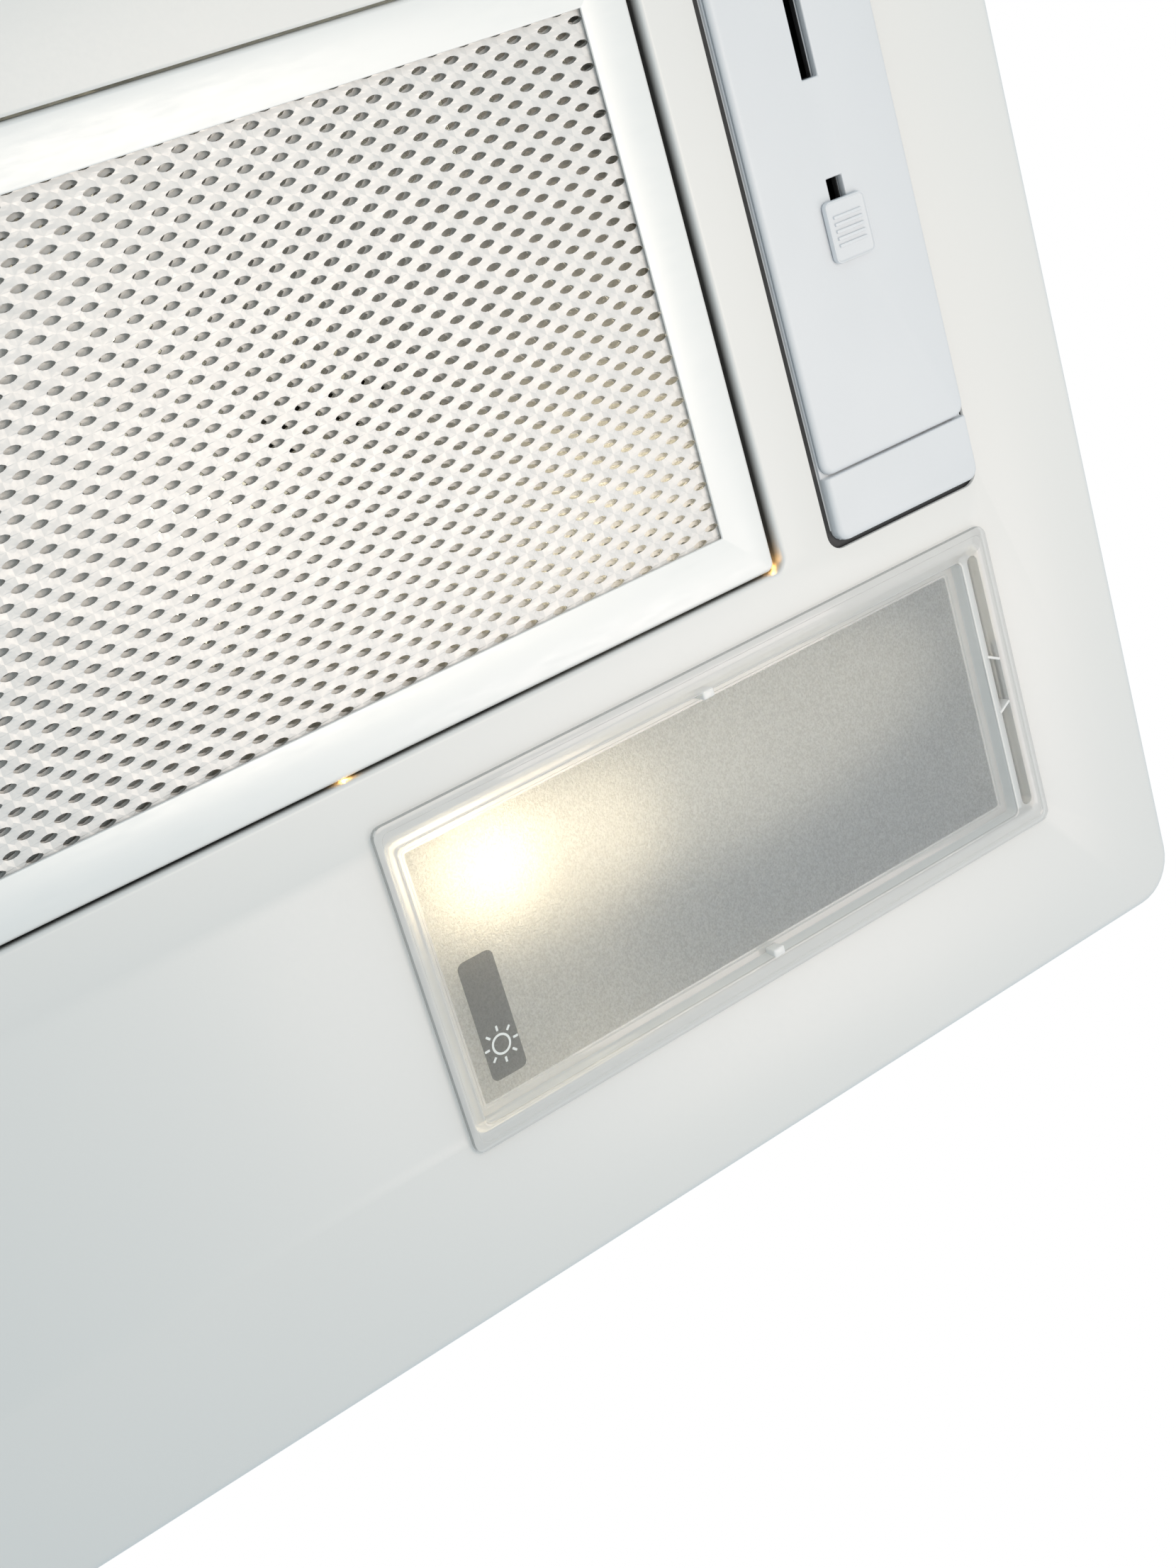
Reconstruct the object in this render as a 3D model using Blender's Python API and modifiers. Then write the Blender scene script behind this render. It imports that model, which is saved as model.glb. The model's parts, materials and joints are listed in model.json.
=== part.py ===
"""Under cabinet range hood, 600 mm wide, as an assembly of separate pieces.

Frame: +X is the hood's right, +Y is its rear (wall side), +Z is up, and z = 0 is the lowest face.
All sizes below are in millimetres; every helper turns them into metres once, through MM.
"""

import math

import bmesh
import bpy
from mathutils import Matrix, Vector

MM = 0.001
GAP = 0.3  # clearance between pieces that touch
REACH = 5.0  # how far a cutter runs past the face it opens

# Base panel: a folded tray that closes the cabinet from below
WIDTH, DEPTH = 600.0, 300.0
PANEL_Z = 4.0
SHEET = 1.0
PANEL_CORNER = 12.0
PANEL_FOLD = 3.0
RIM_TOP = 34.0
RIM_FLANGE = 11.0

# Grease filter and its opening
FILTER_OPEN_X = 202.0
FILTER_OPEN_Y = (-122.7, 21.3)
FILTER_LIP = 6.0
FILTER_X = 200.2
FILTER_Y = (-122.1, 20.7)
FILTER_RECESS = 1.6
FILTER_THICK = 9.0
FRAME_FACE = 12.2
FRAME_SHEET = 0.8
MESH_SHEET = 1.0

# Latch at the middle of the filter's front rail
CUP_X = 27.5
CUP_Y = (-109.4, -74.0)
CUP_WALL = 1.2
TONGUE_X = 8.0
LATCH_TRAVEL = 6.0

# Lamps, right-hand side; the left-hand ones are mirrored
LENS_X = (81.2, 261.2)
LENS_Y = (32.4, 111.4)
LENS_PROUD = 1.5
LENS_WALL = 1.5
LENS_DEPTH = 3.5
LENS_BORDER = (4.5, 4.1, 6.4, 5.4)  # inner end, outer end, front, rear
LAMP_AXIS_Y = 71.9
LAMP_AXIS_Z = 46.0
LAMP_TIP_X = 90.0
HOLDER_X = (165.0, 199.0)
LAMP_BOX_X = (79.0, 264.0)
LAMP_BOX_Y = (33.0, 111.6)
LAMP_BOX_TOP = 74.0
LAMP_BOX_FLANGE = 6.0

# Control block at the filter's right
CONTROL_X = (217.8, 263.1)
CONTROL_Y = (-122.7, 21.0)
CONTROL_GAP = 2.2
CONTROL_PROUD = 2.0
CONTROL_SPLIT_Y = 5.2
CONTROL_TOP = 28.0
KNOB_PROUD = 2.0
KNOB_X = 240.45
SPEED_Y, SPEED_TRAVEL = -108.0, 22.5
LIGHT_Y, LIGHT_TRAVEL = -47.0, 7.0  # rests at its front stop, switched on

# Upper casing, which goes up into the cabinet
CASE_X, CASE_Y = 280.0, 130.0
CASE_TOP = 201.0
CASE_FLANGE = 14.0
CASE_FOOT = 8.0
TOP_PLATE_Z = (201.3, 202.3)
BOARD_THICK = 18.0  # cabinet board clamped between rim and brackets

# Blower
WHEEL_Y, WHEEL_Z = -10.0, 116.0
WHEEL_R, WHEEL_INNER_R, WHEEL_HALF = 65.0, 54.5, 56.0
BLADES = 20
SCROLL_R = (71.0, 106.0)
SCROLL_START = 75.0  # degrees
SCROLL_HALF, SCROLL_WALL = 64.0, 1.8
SCROLL_TOP = 200.9
INLET_R = 53.0
MOTOR_R = 38.0
MOTOR_X = (-84.0, -10.0)
SHAFT_R = 4.0

# Outlet
OUTLET_Y = 40.0
SPIGOT_R, SPIGOT_WALL = 60.0, 2.7
SPIGOT_TOP = 239.0
LEDGE_Z = 211.0
PIN_Z, PIN_R = 215.6, 1.5
FLAP_SHEET = 1.2

# Electrical box on the top plate
BOX_X, BOX_Y = (160.0, 240.0), (-50.0, 22.0)
BOX_TOP = 228.0

PARTS = None
CUTTERS = None


# ---------------------------------------------------------------- scene and materials
def clear_scene():
    for obj in list(bpy.data.objects):
        bpy.data.objects.remove(obj, do_unlink=True)


def new_collection(name):
    collection = bpy.data.collections.new(name)
    bpy.context.scene.collection.children.link(collection)
    return collection


def material(name, colour, roughness, metallic=0.0, transmission=0.0):
    made = bpy.data.materials.new(name)
    made.use_nodes = True
    made.diffuse_color = (*colour, 1.0)
    shader = made.node_tree.nodes["Principled BSDF"]
    shader.inputs["Base Color"].default_value = (*colour, 1.0)
    shader.inputs["Roughness"].default_value = roughness
    shader.inputs["Metallic"].default_value = metallic
    shader.inputs["Transmission Weight"].default_value = transmission
    return made


def make_materials():
    return {
        "painted": material("painted_steel", (0.80, 0.80, 0.78), 0.38),
        "zinc": material("galvanised_steel", (0.62, 0.64, 0.66), 0.42, 1.0),
        "aluminium": material("aluminium", (0.86, 0.87, 0.88), 0.32, 1.0),
        "control": material("control_plastic", (0.74, 0.77, 0.80), 0.40),
        "clear": material("clear_plastic", (0.86, 0.87, 0.87), 0.15, 0.0, 0.8),
        "glass": material("lamp_glass", (0.97, 0.95, 0.90), 0.08, 0.0, 0.9),
        "ceramic": material("ceramic", (0.86, 0.84, 0.80), 0.45),
        "black": material("black_plastic", (0.035, 0.036, 0.038), 0.45),
        "grey": material("grey_plastic", (0.30, 0.31, 0.32), 0.50),
        "rubber": material("rubber", (0.03, 0.03, 0.03), 0.80),
        "steel": material("bright_steel", (0.70, 0.71, 0.72), 0.30, 1.0),
        "cable": material("cable_sheath", (0.72, 0.72, 0.70), 0.50),
    }


# ---------------------------------------------------------------- shape helpers
def place(name, mesh, look, collection=None):
    obj = bpy.data.objects.new(name, mesh)
    (collection or PARTS).objects.link(obj)
    if look:
        mesh.materials.append(look)
    return obj


def finish_mesh(name, bm, look):
    bmesh.ops.recalc_face_normals(bm, faces=bm.faces)
    mesh = bpy.data.meshes.new(name)
    bm.to_mesh(mesh)
    bm.free()
    return place(name, mesh, look)


def smooth(obj, angle=40.0):
    obj.data.shade_smooth()
    obj.data.set_sharp_from_angle(angle=math.radians(angle))
    return obj


def box(name, low, high, look=None, corner=0.0, under=0.0, segments=4):
    """A block between two corners; corner rounds its upright edges, under its lower outline."""
    bm = bmesh.new()
    middle = [(a + b) / 2 * MM for a, b in zip(low, high)]
    size = [(b - a) * MM for a, b in zip(low, high)]
    matrix = Matrix.Translation(middle) @ Matrix.Diagonal((*size, 1.0))
    bmesh.ops.create_cube(bm, size=1.0, matrix=matrix)
    if corner:
        upright = [e for e in bm.edges if abs(e.verts[0].co.z - e.verts[1].co.z) > 1e-6]
        bmesh.ops.bevel(bm, geom=upright, offset=corner * MM, segments=segments,
                        profile=0.5, affect="EDGES")
    if under:
        bottom = low[2] * MM
        lower = [e for e in bm.edges
                 if all(abs(v.co.z - bottom) < 1e-6 for v in e.verts)]
        bmesh.ops.bevel(bm, geom=lower, offset=under * MM, segments=3,
                        profile=0.5, affect="EDGES")
    return finish_mesh(name, bm, look)


def rod(name, start, end, radius, look=None, sides=24, end_radius=None):
    """A cylinder, or a cone where end_radius differs, between two points."""
    a, b = Vector(start) * MM, Vector(end) * MM
    turn = (b - a).to_track_quat("Z", "Y").to_matrix().to_4x4()
    bm = bmesh.new()
    bmesh.ops.create_cone(
        bm, cap_ends=True, segments=sides, radius1=radius * MM,
        radius2=(radius if end_radius is None else end_radius) * MM,
        depth=(b - a).length, matrix=Matrix.Translation((a + b) / 2) @ turn)
    return finish_mesh(name, bm, look)


def turned(name, profile, origin, axis, look=None, sides=32, closed=False):
    """A turned piece. The profile is (radius, height) pairs that run down the outer side."""
    mesh = bpy.data.meshes.new(name)
    points = [(r * MM, 0.0, h * MM) for r, h in profile]
    edges = [(i, i + 1) for i in range(len(points) - 1)]
    if closed:
        edges.append((len(points) - 1, 0))
    mesh.from_pydata(points, edges, [])
    obj = place(name, mesh, look)
    screw = obj.modifiers.new("Turn", "SCREW")
    screw.steps = screw.render_steps = sides
    screw.use_merge_vertices = True
    screw.merge_threshold = 1e-6
    turn = Vector(axis).to_track_quat("Z", "Y").to_matrix().to_4x4()
    obj.matrix_world = Matrix.Translation(Vector(origin) * MM) @ turn
    return obj


def as_mesh(obj):
    """The evaluated shape of an object as a plain mesh object in the same place."""
    bpy.context.view_layer.update()
    evaluated = obj.evaluated_get(bpy.context.evaluated_depsgraph_get())
    mesh = bpy.data.meshes.new_from_object(evaluated)
    bm = bmesh.new()
    bm.from_mesh(mesh)
    bmesh.ops.remove_doubles(bm, verts=bm.verts, dist=1e-7)
    bmesh.ops.transform(bm, matrix=obj.matrix_world, verts=bm.verts)
    bmesh.ops.recalc_face_normals(bm, faces=bm.faces)
    bm.to_mesh(mesh)
    bm.free()
    name, collection = obj.name, obj.users_collection[0]
    bpy.data.objects.remove(obj, do_unlink=True)
    return place(name, mesh, None, collection)


def outline_curve(name, loops):
    curve = bpy.data.curves.new(name, "CURVE")
    curve.dimensions = "2D"
    curve.fill_mode = "BOTH"
    for loop in loops:
        spline = curve.splines.new("POLY")
        spline.points.add(len(loop) - 1)
        for point, (u, v) in zip(spline.points, loop):
            point.co = (u * MM, v * MM, 0.0, 1.0)
        spline.use_cyclic_u = True
    return curve


def prism_x(name, loops, x0, x1, look=None):
    """An outline in the Y-Z plane, drawn out along X."""
    curve = outline_curve(name, loops)
    curve.extrude = (x1 - x0) / 2 * MM
    if look:
        curve.materials.append(look)
    obj = bpy.data.objects.new(name, curve)
    PARTS.objects.link(obj)
    obj.location = ((x0 + x1) / 2 * MM, 0.0, 0.0)
    obj.rotation_euler = (math.pi / 2, 0.0, math.pi / 2)
    return as_mesh(obj)


def hide_helper(obj):
    for collection in obj.users_collection:
        collection.objects.unlink(obj)
    CUTTERS.objects.link(obj)
    obj.hide_render = True
    obj.display_type = "WIRE"


def combine(obj, operation, others):
    for other in others:
        hide_helper(other)
        modifier = obj.modifiers.new(other.name, "BOOLEAN")
        modifier.operation = operation
        modifier.solver = "EXACT"
        modifier.object = other
    return obj


def cut(obj, *others):
    return combine(obj, "DIFFERENCE", others)


def join(obj, *others):
    return combine(obj, "UNION", others)


def mirrored(low, high, side):
    """The two corners of a block, moved to the left-hand side where side is -1."""
    xs = sorted((low[0] * side, high[0] * side))
    return (xs[0], low[1], low[2]), (xs[1], high[1], high[2])


def screw(name, head_at, axis, length, look, radius=1.9, head_radius=4.0, head=2.4):
    """A pan-head screw: head_at is the centre of the face under its head."""
    profile = [(0.0, head), (head_radius * 0.7, head), (head_radius, head * 0.4),
               (head_radius, 0.0), (radius, 0.0), (radius, -length + 1.5),
               (radius * 0.3, -length), (0.0, -length)]
    return smooth(turned(name, profile, head_at, axis, look, sides=12), 50.0)


# ---------------------------------------------------------------- housing
def make_base_panel(looks):
    half_x, half_y = WIDTH / 2, DEPTH / 2
    panel = box("base_panel", (-half_x, -half_y, PANEL_Z), (half_x, half_y, RIM_TOP),
                looks["painted"], corner=PANEL_CORNER, under=PANEL_FOLD, segments=6)
    x, y = half_x - SHEET, half_y - SHEET
    tray = box("tray_hollow", (-x, -y, PANEL_Z + SHEET), (x, y, RIM_TOP - SHEET),
               corner=PANEL_CORNER - SHEET, under=PANEL_FOLD - SHEET, segments=6)
    x, y = half_x - RIM_FLANGE, half_y - RIM_FLANGE
    mouth = box("tray_mouth", (-x, -y, RIM_TOP - 3 * SHEET), (x, y, RIM_TOP + REACH), corner=6.0)
    cut(panel, tray, mouth)

    front, rear = FILTER_OPEN_Y
    x = FILTER_OPEN_X + SHEET
    lip = box("filter_lip", (-x, front - SHEET, PANEL_Z + 0.4),
              (x, rear + SHEET, PANEL_Z + FILTER_LIP), corner=4.0)
    x = FILTER_OPEN_X
    opening = box("filter_opening", (-x, front, PANEL_Z - REACH),
                  (x, rear, PANEL_Z + FILTER_LIP + REACH), corner=3.0)
    notch = box("latch_notch", (-2 * TONGUE_X, front - 3.0, PANEL_Z + SHEET + 0.2),
                (2 * TONGUE_X, front + 1.0, PANEL_Z + FILTER_LIP + REACH))
    join(panel, lip)
    cut(panel, opening, notch)

    for side, hand in ((1, "right"), (-1, "left")):
        low = (LENS_X[0] + 2.2, LENS_Y[0] + 4.1, PANEL_Z - REACH)
        high = (LENS_X[1] - 1.8, LENS_Y[1] - 3.1, PANEL_Z + REACH)
        cut(panel, box(f"lens_opening_{hand}", *mirrored(low, high, side), corner=3.0))

    low = (CONTROL_X[0] - CONTROL_GAP, CONTROL_Y[0] - 1.6, PANEL_Z - REACH)
    high = (CONTROL_X[1] + CONTROL_GAP, CONTROL_Y[1] + 1.6, PANEL_Z + REACH)
    cut(panel, box("control_opening", low, high, corner=4.0))
    return panel


def make_casing(looks):
    foot = PANEL_Z + SHEET + GAP
    shell = box("casing_shell", (-CASE_X, -CASE_Y, foot), (CASE_X, CASE_Y, CASE_TOP),
                looks["zinc"], corner=4.0)
    x, y = CASE_X + CASE_FOOT, CASE_Y + CASE_FOOT
    join(shell, box("casing_foot", (-x, -y, foot), (x, y, foot + SHEET), corner=8.0))
    x, y = CASE_X - SHEET, CASE_Y - SHEET
    hollow = box("casing_hollow", (-x, -y, foot - REACH), (x, y, CASE_TOP - SHEET), corner=3.0)
    x, y = CASE_X - CASE_FLANGE, CASE_Y - CASE_FLANGE
    mouth = box("casing_mouth", (-x, -y, CASE_TOP - REACH), (x, y, CASE_TOP + REACH), corner=3.0)
    cut(shell, hollow, mouth)
    for i, (x, y) in enumerate(top_screw_places()):
        cut(shell, rod(f"shell_hole_{i}", (x, y, CASE_TOP - REACH), (x, y, CASE_TOP + REACH),
                       2.3, sides=12))
    for side in (-1, 1):
        ends = [(side * (CASE_X + d), 0.0, bracket_screw_z()) for d in (-REACH, REACH)]
        cut(shell, rod(f"bracket_hole_{side}", *ends, 2.3, sides=12))
    return shell


def top_screw_places():
    return [(sx * (CASE_X - 8.0), sy * (CASE_Y - 8.0)) for sx in (-1, 1) for sy in (-1, 1)]


def collar_screw_places():
    return [(sx * 62.0, OUTLET_Y + sy * 62.0) for sx in (-1, 1) for sy in (-1, 1)]


def bracket_screw_z():
    return RIM_TOP + BOARD_THICK + 18.0


def make_top_plate(looks):
    low, high = TOP_PLATE_Z
    plate = box("top_plate", (-CASE_X, -CASE_Y, low), (CASE_X, CASE_Y, high),
                looks["zinc"], corner=4.0)
    z0, z1 = low - REACH, high + REACH
    cut(plate, rod("outlet_hole", (0, OUTLET_Y, z0), (0, OUTLET_Y, z1), 56.0, sides=48))
    places = top_screw_places() + collar_screw_places()
    for i, (x, y) in enumerate(places):
        cut(plate, rod(f"plate_hole_{i}", (x, y, z0), (x, y, z1), 2.3, sides=12))
    cut(plate,
        rod("stud_hole", (*capacitor_place(), z0), (*capacitor_place(), z1), 4.4, sides=16),
        box("lead_hole", (178.0, -22.0, z0), (222.0, -8.0, z1), corner=5.0))
    for i, (x, y) in enumerate(top_screw_places()):
        screw(f"top_screw_{i + 1}", (x, y, high + GAP), (0, 0, 1), 7.0, looks["steel"])
    return plate


def make_brackets(looks):
    low_z = RIM_TOP + BOARD_THICK + GAP
    screw_z = bracket_screw_z()
    for side, hand in ((1, "right"), (-1, "left")):
        near = CASE_X + GAP
        upright = mirrored((near, -30.0, low_z), (near + 1.5, 30.0, low_z + 30.0), side)
        leg = mirrored((near, -30.0, low_z), (near + 17.0, 30.0, low_z + 1.5), side)
        bracket = box(f"side_bracket_{hand}", *upright, looks["zinc"])
        join(bracket, box(f"bracket_leg_{hand}", *leg))
        slot = mirrored((near - 2.0, -2.4, screw_z - 6.0), (near + 4.0, 2.4, screw_z + 6.0), side)
        holes = [box(f"bracket_slot_{hand}", *slot)]
        for i, y in enumerate((-18.0, 18.0)):
            x = side * (near + 10.0)
            holes.append(rod(f"wood_screw_hole_{hand}_{i}", (x, y, low_z - REACH),
                             (x, y, low_z + REACH), 2.4, sides=12))
        cut(bracket, *holes)
        screw(f"bracket_screw_{hand}", (side * (near + 1.5 + GAP), 0.0, screw_z),
              (side, 0, 0), 8.0, looks["steel"], head_radius=4.6)


# ---------------------------------------------------------------- blower
def spiral(start, end, steps, extra=0.0):
    """Points of the scroll's wall, in Y and Z, from one angle to another."""
    points = []
    for i in range(steps + 1):
        degrees = start + (end - start) * i / steps
        share = (degrees - SCROLL_START) / (360.0 - SCROLL_START)
        radius = SCROLL_R[0] + (SCROLL_R[1] - SCROLL_R[0]) * share + extra
        angle = math.radians(degrees)
        points.append((WHEEL_Y + radius * math.cos(angle), WHEEL_Z + radius * math.sin(angle)))
    return points


def scroll_outlines():
    """The outside of the scroll and its hollow, both open upwards through the outlet neck."""
    rear = WHEEL_Y + SCROLL_R[1]
    front = OUTLET_Y - 56.0
    outer = spiral(98.0, 360.0, 30, SCROLL_WALL)
    outer += [(rear + SCROLL_WALL, SCROLL_TOP - 0.6), (front - SCROLL_WALL, SCROLL_TOP - 0.6),
              (front - SCROLL_WALL, SCROLL_TOP - 4.0)]
    hollow = spiral(SCROLL_START, 360.0, 32)
    tongue_y, tongue_z = hollow[0]
    hollow += [(rear, SCROLL_TOP + REACH), (front, SCROLL_TOP + REACH),
               (front, SCROLL_TOP - 2.0), (tongue_y + 1.5, tongue_z + 3.0)]
    return outer, hollow


def make_scroll(looks):
    outer, hollow = scroll_outlines()
    for side, hand in ((1, "right"), (-1, "left")):
        split = GAP / 2
        ends = sorted((side * split, side * SCROLL_HALF))
        half = prism_x(f"scroll_half_{hand}", [outer], *ends, looks["grey"])
        half.data.materials.append(looks["grey"])
        flange = mirrored((split + 0.4, OUTLET_Y - 68.0, SCROLL_TOP - 1.8),
                          (74.0, OUTLET_Y + 68.0, SCROLL_TOP), side)
        join(half, box(f"scroll_flange_{hand}", *flange))
        ends = sorted((side * -REACH, side * (SCROLL_HALF - SCROLL_WALL)))
        cut(half, prism_x(f"scroll_hollow_{hand}", [hollow], *ends))
        centre = [(side * x, WHEEL_Y, WHEEL_Z) for x in (SCROLL_HALF - REACH, SCROLL_HALF + REACH)]
        cut(half, rod(f"inlet_{hand}", *centre, INLET_R, sides=40))
        for i, (x, y) in enumerate(collar_screw_places()):
            if x * side > 0:
                cut(half, rod(f"flange_hole_{hand}_{i}", (x, y, SCROLL_TOP - REACH),
                              (x, y, SCROLL_TOP + REACH), 2.3, sides=12))


def blade_outline(start):
    """One forward-curved blade as a thin outline in Y and Z."""
    curve = ((WHEEL_INNER_R, 0.0), (WHEEL_R - 0.4, 7.0))
    thickness = 0.9
    near, far = [], []
    for radius, lean in curve:
        for points, degrees in ((near, lean), (far, lean + math.degrees(thickness / radius))):
            angle = start + math.radians(degrees)
            points.append((WHEEL_Y + radius * math.cos(angle), WHEEL_Z + radius * math.sin(angle)))
    return near + far[::-1]


def make_impeller(looks):
    centre = (0.0, WHEEL_Y, WHEEL_Z)
    shaft_bore = SHAFT_R + GAP
    disc = [(62.0, 0.8), (62.0, -0.8), (10.0, -0.8), (10.0, -6.0), (shaft_bore, -6.0),
            (shaft_bore, 14.0), (10.0, 14.0), (10.0, 0.8)]
    wheel = as_mesh(turned("impeller", disc, centre, (1, 0, 0), looks["black"],
                           sides=40, closed=True))
    wheel.data.materials.append(looks["black"])
    loops = [blade_outline(2 * math.pi * i / BLADES) for i in range(BLADES)]
    blades = prism_x("blades", loops, -WHEEL_HALF + 1.0, WHEEL_HALF - 1.0)
    join(wheel, blades)
    for side in (-1, 1):
        ring = [(WHEEL_R + 0.4, 1.0), (WHEEL_R + 0.4, -1.0), (WHEEL_INNER_R + 1.2, -1.0),
                (WHEEL_INNER_R + 1.2, 1.0)]
        place_x = (side * (WHEEL_HALF - 1.0), WHEEL_Y, WHEEL_Z)
        join(wheel, as_mesh(turned(f"end_ring_{side}", ring, place_x, (1, 0, 0),
                                   sides=40, closed=True)))
    return wheel


def make_motor(looks):
    def along_axis(x):
        return (x, WHEEL_Y, WHEEL_Z)

    back, front = MOTOR_X
    length = front - back
    bore = SHAFT_R + GAP
    profile = [(MOTOR_R - 4.0, length), (MOTOR_R, length - 4.0), (MOTOR_R, 4.0),
               (MOTOR_R - 4.0, 0.0), (bore, 0.0), (bore, length)]
    smooth(turned("motor_body", profile, along_axis(back), (1, 0, 0), looks["steel"],
                  sides=32, closed=True))
    smooth(rod("motor_shaft", along_axis(back + 6.0), along_axis(18.0), SHAFT_R,
               looks["steel"], sides=16))

    plate_x = -SCROLL_HALF - 5.0
    angles = [math.radians(90.0 + 120.0 * i) for i in range(3)]
    loops = [bracket_outline(angles), circle(MOTOR_R + GAP, 36)]
    for i, angle in enumerate(angles):
        y, z = WHEEL_Y + 60.0 * math.cos(angle), WHEEL_Z + 60.0 * math.sin(angle)
        loops.append([(y + u, z + v) for u, v in circle(2.2, 12, (0.0, 0.0))])
        grommet = [(5.5, 4.4), (5.5, 0.0), (2.2, 0.0), (2.2, 4.4)]
        smooth(turned(f"motor_grommet_{i + 1}", grommet, (plate_x + GAP, y, z), (1, 0, 0),
                      looks["rubber"], sides=16, closed=True))
    prism_x("motor_bracket", loops, plate_x - 1.5, plate_x, looks["zinc"])


def circle(radius, steps, centre=(WHEEL_Y, WHEEL_Z)):
    angles = [2 * math.pi * i / steps for i in range(steps)]
    return [(centre[0] + radius * math.cos(a), centre[1] + radius * math.sin(a)) for a in angles]


def bracket_outline(angles):
    """A ring's outer edge with an arm out to each grommet."""
    ring, reach, half_arm = 46.0, 68.0, 8.0
    points = []
    for angle in angles:
        out = Vector((math.cos(angle), math.sin(angle)))
        across = Vector((-out.y, out.x))
        foot = math.asin(half_arm / ring)
        for along, side in ((ring * math.cos(foot), -1), (reach - 3, -1), (reach, -0.6),
                            (reach, 0.6), (reach - 3, 1), (ring * math.cos(foot), 1)):
            points.append(out * along + across * half_arm * side)
        gap = math.radians(120.0) - 2 * foot
        for i in range(1, 8):
            a = angle + foot + gap * i / 8
            points.append(Vector((math.cos(a), math.sin(a))) * ring)
    return [(WHEEL_Y + p.x, WHEEL_Z + p.y) for p in points]


def capacitor_place():
    return (112.0, -84.0)


def make_capacitor(looks):
    x, y = capacitor_place()
    top = TOP_PLATE_Z[0] - GAP
    profile = [(0.0, 10.0), (4.0, 10.0), (4.0, 0.0), (13.0, 0.0), (15.0, -2.0),
               (15.0, -58.0), (13.0, -60.0), (0.0, -60.0)]
    smooth(turned("capacitor", profile, (x, y, top), (0, 0, 1), looks["ceramic"], sides=24))
    nut_z = TOP_PLATE_Z[1] + GAP
    nut = rod("capacitor_nut", (x, y, nut_z), (x, y, nut_z + 5.0), 7.5, looks["steel"], sides=6)
    cut(nut, rod("nut_bore", (x, y, nut_z - REACH), (x, y, nut_z + 5.0 + REACH), 4.4, sides=16))


# ---------------------------------------------------------------- outlet
def make_outlet(looks):
    base = TOP_PLATE_Z[1] + GAP
    inner = SPIGOT_R - SPIGOT_WALL
    collar = box("outlet_collar", (-70.0, OUTLET_Y - 70.0, base), (70.0, OUTLET_Y + 70.0, base + 2.4),
                 looks["black"], corner=8.0)
    tube = [(SPIGOT_R - 1.0, SPIGOT_TOP), (SPIGOT_R, SPIGOT_TOP - 6.0), (SPIGOT_R, base + 1.0),
            (inner - 4.0, base + 1.0), (inner - 4.0, LEDGE_Z), (inner, LEDGE_Z), (inner, SPIGOT_TOP)]
    bore = rod("collar_bore", (0, OUTLET_Y, base - REACH), (0, OUTLET_Y, base + REACH),
               inner - 4.0, sides=40)
    cut(collar, bore)
    join(collar, as_mesh(turned("spigot", tube, (0, OUTLET_Y, 0), (0, 0, 1), sides=40,
                                closed=True)))
    ends = [(x, OUTLET_Y, PIN_Z) for x in (-SPIGOT_R - REACH, SPIGOT_R + REACH)]
    cut(collar, rod("pin_holes", *ends, PIN_R + GAP, sides=12))
    for i, (x, y) in enumerate(collar_screw_places()):
        cut(collar, rod(f"collar_hole_{i}", (x, y, base - REACH), (x, y, base + REACH), 2.3,
                        sides=12))
        screw(f"collar_screw_{i + 1}", (x, y, base + 2.4 + GAP), (0, 0, 1), 9.0, looks["steel"])

    half = SPIGOT_R - 0.4
    smooth(rod("damper_pin", (-half, OUTLET_Y, PIN_Z), (half, OUTLET_Y, PIN_Z), PIN_R,
               looks["steel"], sides=12))
    make_flap("damper_flap_rear", 1, ((-21.0, -3.0), (3.0, 21.0)), looks)
    make_flap("damper_flap_front", -1, ((-42.0, -24.0), (24.0, 42.0)), looks)


def make_flap(name, side, knuckles, looks):
    """Half of the non-return damper, with two knuckles round the pin."""
    radius = SPIGOT_R - SPIGOT_WALL - 0.6
    low = LEDGE_Z + GAP
    flap = rod(name, (0, OUTLET_Y, low), (0, OUTLET_Y, low + FLAP_SHEET), radius,
               looks["aluminium"], sides=40)
    edge = OUTLET_Y + side * 1.2
    far = OUTLET_Y - side * (radius + REACH)
    low_y, high_y = sorted((edge, far))
    cut(flap, box(f"{name}_half", (-radius - REACH, low_y, low - REACH),
                  (radius + REACH, high_y, low + REACH)))
    outer = PIN_R + GAP + 1.2
    for i, (x0, x1) in enumerate(knuckles):
        web_y = sorted((edge, OUTLET_Y + side * (outer + 1.5)))
        join(flap,
             box(f"{name}_web_{i}", (x0, web_y[0], low + 0.2), (x1, web_y[1], PIN_Z - 1.0)),
             rod(f"{name}_knuckle_{i}", (x0, OUTLET_Y, PIN_Z), (x1, OUTLET_Y, PIN_Z), outer,
                 sides=16))
    length = SPIGOT_R
    cut(flap, rod(f"{name}_bore", (-length, OUTLET_Y, PIN_Z), (length, OUTLET_Y, PIN_Z),
                  PIN_R + GAP, sides=16))
    return flap


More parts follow.
